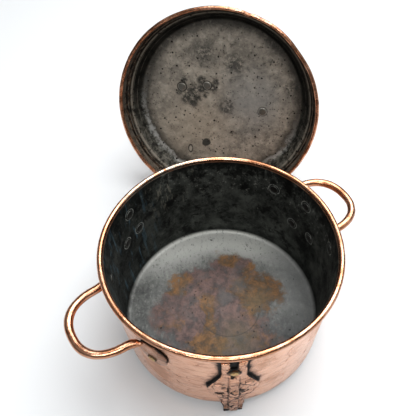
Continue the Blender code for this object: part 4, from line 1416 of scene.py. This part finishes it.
def floor_material():
    tree = Tree("studio_floor")
    place = tree.add("ShaderNodeTexCoord").outputs["Object"]
    soft = tree.noise(place, 3.0, 2.0)
    colour = tree.mix(soft, (0.610, 0.627, 0.640), (0.630, 0.647, 0.660))
    # far from the pot the camera sees the floor fade into the backdrop
    far = tree.step(tree.vector("LENGTH", place), 0.9, 3.2)
    seen = tree.add("ShaderNodeLightPath").outputs["Is Camera Ray"]
    tree.feed(tree.shader.inputs["Emission Color"], (0.86, 0.87, 0.88))
    tree.feed(tree.shader.inputs["Emission Strength"], tree.math("MULTIPLY", far, seen))
    return tree.finish(colour, 0.0, 0.9)


# ---------------------------------------------------------------- assembly


def dress(obj, material, body, slot, *nodes):
    obj.data.materials.clear()
    obj.data.materials.append(material)
    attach(obj, body)
    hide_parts(*nodes)


def build_pot():
    iron = iron_material()
    dress(build_pot_body(), pot_material(), "pot", "copper", "pot_body")
    wire = build_wire("pot_rim_wire_iron", (RIM_RADIUS - BEAD_RADIUS, BEAD_Z), WIRE_RADIUS, warp_pot)
    dress(wire, iron, "pot", "rim_wire", "pot_rim_wire")
    handle_copper = copper_material("handle_copper", 1.0, depth=0.44)
    foot_copper = copper_material("foot_copper", 0.55, 0.0005, True, 0.10)
    brass = rivet_material("brassy_rivet", (0.66, 0.47, 0.22), (0.13, 0.135, 0.125), (0.012, 0.012, 0.011))
    rivet = rivet_material("copper_rivet", PINK_COPPER, (0.13, 0.135, 0.125), (0.012, 0.012, 0.011))
    for i, (name, azimuth) in enumerate(HANDLES.items()):
        handle = build_handle(name, azimuth, 40 + 10 * i)
        dress(handle, handle_copper, "pot", "copper", name)
        for label, side in (("rivet_a", -1), ("rivet_b", 1)):
            place = wall_matrix(math.radians(azimuth + side * PALM_AZIMUTH), HANDLE_RIVET_Z[name])
            node = f"{name}_{label}"
            grip = SHEET + GAP + PALM_THICKNESS
            head = build_rivet(node + "_set", place, grip, 0.0022, 90 + i * 7 + side, warp_pot, 0.0004)
            dress(head, brass, "pot", "rivet_copper", node)
    for i, (name, azimuth) in enumerate(FEET.items()):
        foot = build_foot(name, azimuth, 60 + 10 * i)
        dress(foot, foot_copper, "pot", "copper", name)
        for j, (label, (x, z)) in enumerate(FOOT_RIVETS[name].items()):
            place = wall_matrix(math.radians(azimuth) + x / wall_outer(z), z)
            node = f"{name}_rivet_{label}"
            grip = SHEET + GAP + FOOT_THICKNESS
            top = label == "top"
            made = build_rivet(
                node + "_set",
                place,
                grip,
                0.0019 if top else 0.0008,
                120 + i * 9 + j,
                warp_pot,
                0.0005 if top else 0.0006,
                0.0056 if top else 0.0050,
            )
            dress(made, brass if top else rivet, "pot", "rivet_copper", node)
    return iron


def build_lid(iron):
    place = lid_matrix()
    dress(build_lid_shell(place), lid_material(), "lid", "copper", "lid_shell")
    wire = build_wire("lid_rim_wire_iron", (LID_BEAD, 0.0), LID_WIRE, warp_lid)
    wire.data.transform(place)
    dress(wire, iron, "lid", "rim_wire", "lid_rim_wire")
    handle = build_lid_handle(place)
    dress(handle, copper_material("lid_handle_copper", 0.9), "lid", "copper", "lid_handle")
    rivet = rivet_material("lid_rivet", (0.72, 0.52, 0.26), (0.26, 0.25, 0.22), (0.12, 0.115, 0.10))
    grip = LID_SHEET + GAP + 0.003
    rivets = {
        "lid_handle_rivet_a": (LID_HANDLE_FEET[0], grip, 0.0017),
        "lid_handle_rivet_b": (LID_HANDLE_FEET[1], grip, 0.0017),
        "lid_plug_rivet": (LID_PLUG, LID_SHEET, 0.0012),
    }
    for i, (node, ((x, y), held, dome)) in enumerate(rivets.items()):
        at = place @ Matrix.Translation((x, y, LID_DEPTH))
        made = build_rivet(node + "_set", at, held, dome, 150 + i)
        dress(made, rivet, "lid", "rivet_copper", node)


# ---------------------------------------------------------------- studio


def soft_box(name, place, target, size, power, colour=(1.0, 1.0, 1.0)):
    light = bpy.data.lights.new(name, "AREA")
    light.shape = "RECTANGLE"
    light.size, light.size_y = size
    light.energy = power
    light.color = colour
    obj = bpy.data.objects.new(name, light)
    bpy.context.scene.collection.objects.link(obj)
    obj.location = place
    aim = Vector(target) - Vector(place)
    obj.rotation_euler = aim.to_track_quat("-Z", "Y").to_euler()
    return obj


def build_studio():
    size = 6.0
    corners = np.array(
        [[-size, -size, GROUND], [size, -size, GROUND], [size, size, GROUND], [-size, size, GROUND]]
    )
    floor = new_piece("studio_floor", corners, [(0, 1, 2, 3)])
    floor.data.materials.append(floor_material())

    soft_box("key_light", (0.55, 0.60, 1.85), (0.0, 0.05, 0.05), (1.9, 1.9), 53.0)
    soft_box("front_light", (-0.15, -1.15, 1.65), (0.0, 0.05, 0.08), (1.1, 0.7), 16.0)
    soft_box("side_light", (1.6, -0.35, 0.75), (0.0, 0.0, 0.06), (0.5, 0.9), 1.2)

    world = bpy.data.worlds.new("studio")
    bpy.context.scene.world = world
    world.use_nodes = True
    nodes, links = world.node_tree.nodes, world.node_tree.links
    background = nodes["Background"]
    where = nodes.new("ShaderNodeTexCoord").outputs["Generated"]
    split = nodes.new("ShaderNodeSeparateXYZ")
    links.new(where, split.inputs[0])
    ramp = nodes.new("ShaderNodeValToRGB")
    links.new(split.outputs["Z"], ramp.inputs[0])
    stops = ramp.color_ramp.elements
    stops[0].position, stops[0].color = 0.0, (0.18, 0.18, 0.18, 1)
    stops[1].position, stops[1].color = 0.9, (0.95, 0.95, 0.95, 1)
    links.new(ramp.outputs[0], background.inputs["Color"])
    background.inputs["Strength"].default_value = 0.40
    backdrop = nodes.new("ShaderNodeBackground")
    backdrop.inputs["Color"].default_value = (0.86, 0.87, 0.88, 1)
    seen = nodes.new("ShaderNodeLightPath").outputs["Is Camera Ray"]
    both = nodes.new("ShaderNodeMixShader")
    links.new(seen, both.inputs[0])
    links.new(background.outputs[0], both.inputs[1])
    links.new(backdrop.outputs[0], both.inputs[2])
    links.new(both.outputs[0], nodes["World Output"].inputs["Surface"])


def build_camera():
    pitch, roll, heading = (math.radians(a) for a in (50.70, -2.61, -3.1))
    ahead = Vector((0, math.cos(pitch), -math.sin(pitch)))
    right = Vector((1, 0, 0))
    up = Vector((0, math.sin(pitch), math.cos(pitch)))
    turned_right = right * math.cos(roll) + up * math.sin(roll)
    turned_up = up * math.cos(roll) - right * math.sin(roll)
    axes = Matrix((turned_right, turned_up, -ahead)).transposed().to_4x4()
    data = bpy.data.cameras.new("camera")
    data.sensor_width = 36.0
    data.lens = 43.27
    data.clip_end = 50.0
    camera = bpy.data.objects.new("camera", data)
    bpy.context.scene.collection.objects.link(camera)
    place = Matrix.Translation((-0.0295, -0.3259, 0.6129))
    camera.matrix_world = place @ Matrix.Rotation(heading, 4, "Z") @ axes
    bpy.context.scene.camera = camera


iron_shared = build_pot()
build_lid(iron_shared)
build_studio()
build_camera()
bpy.context.scene.view_settings.view_transform = "Standard"
bpy.context.scene.view_settings.look = "Medium High Contrast"
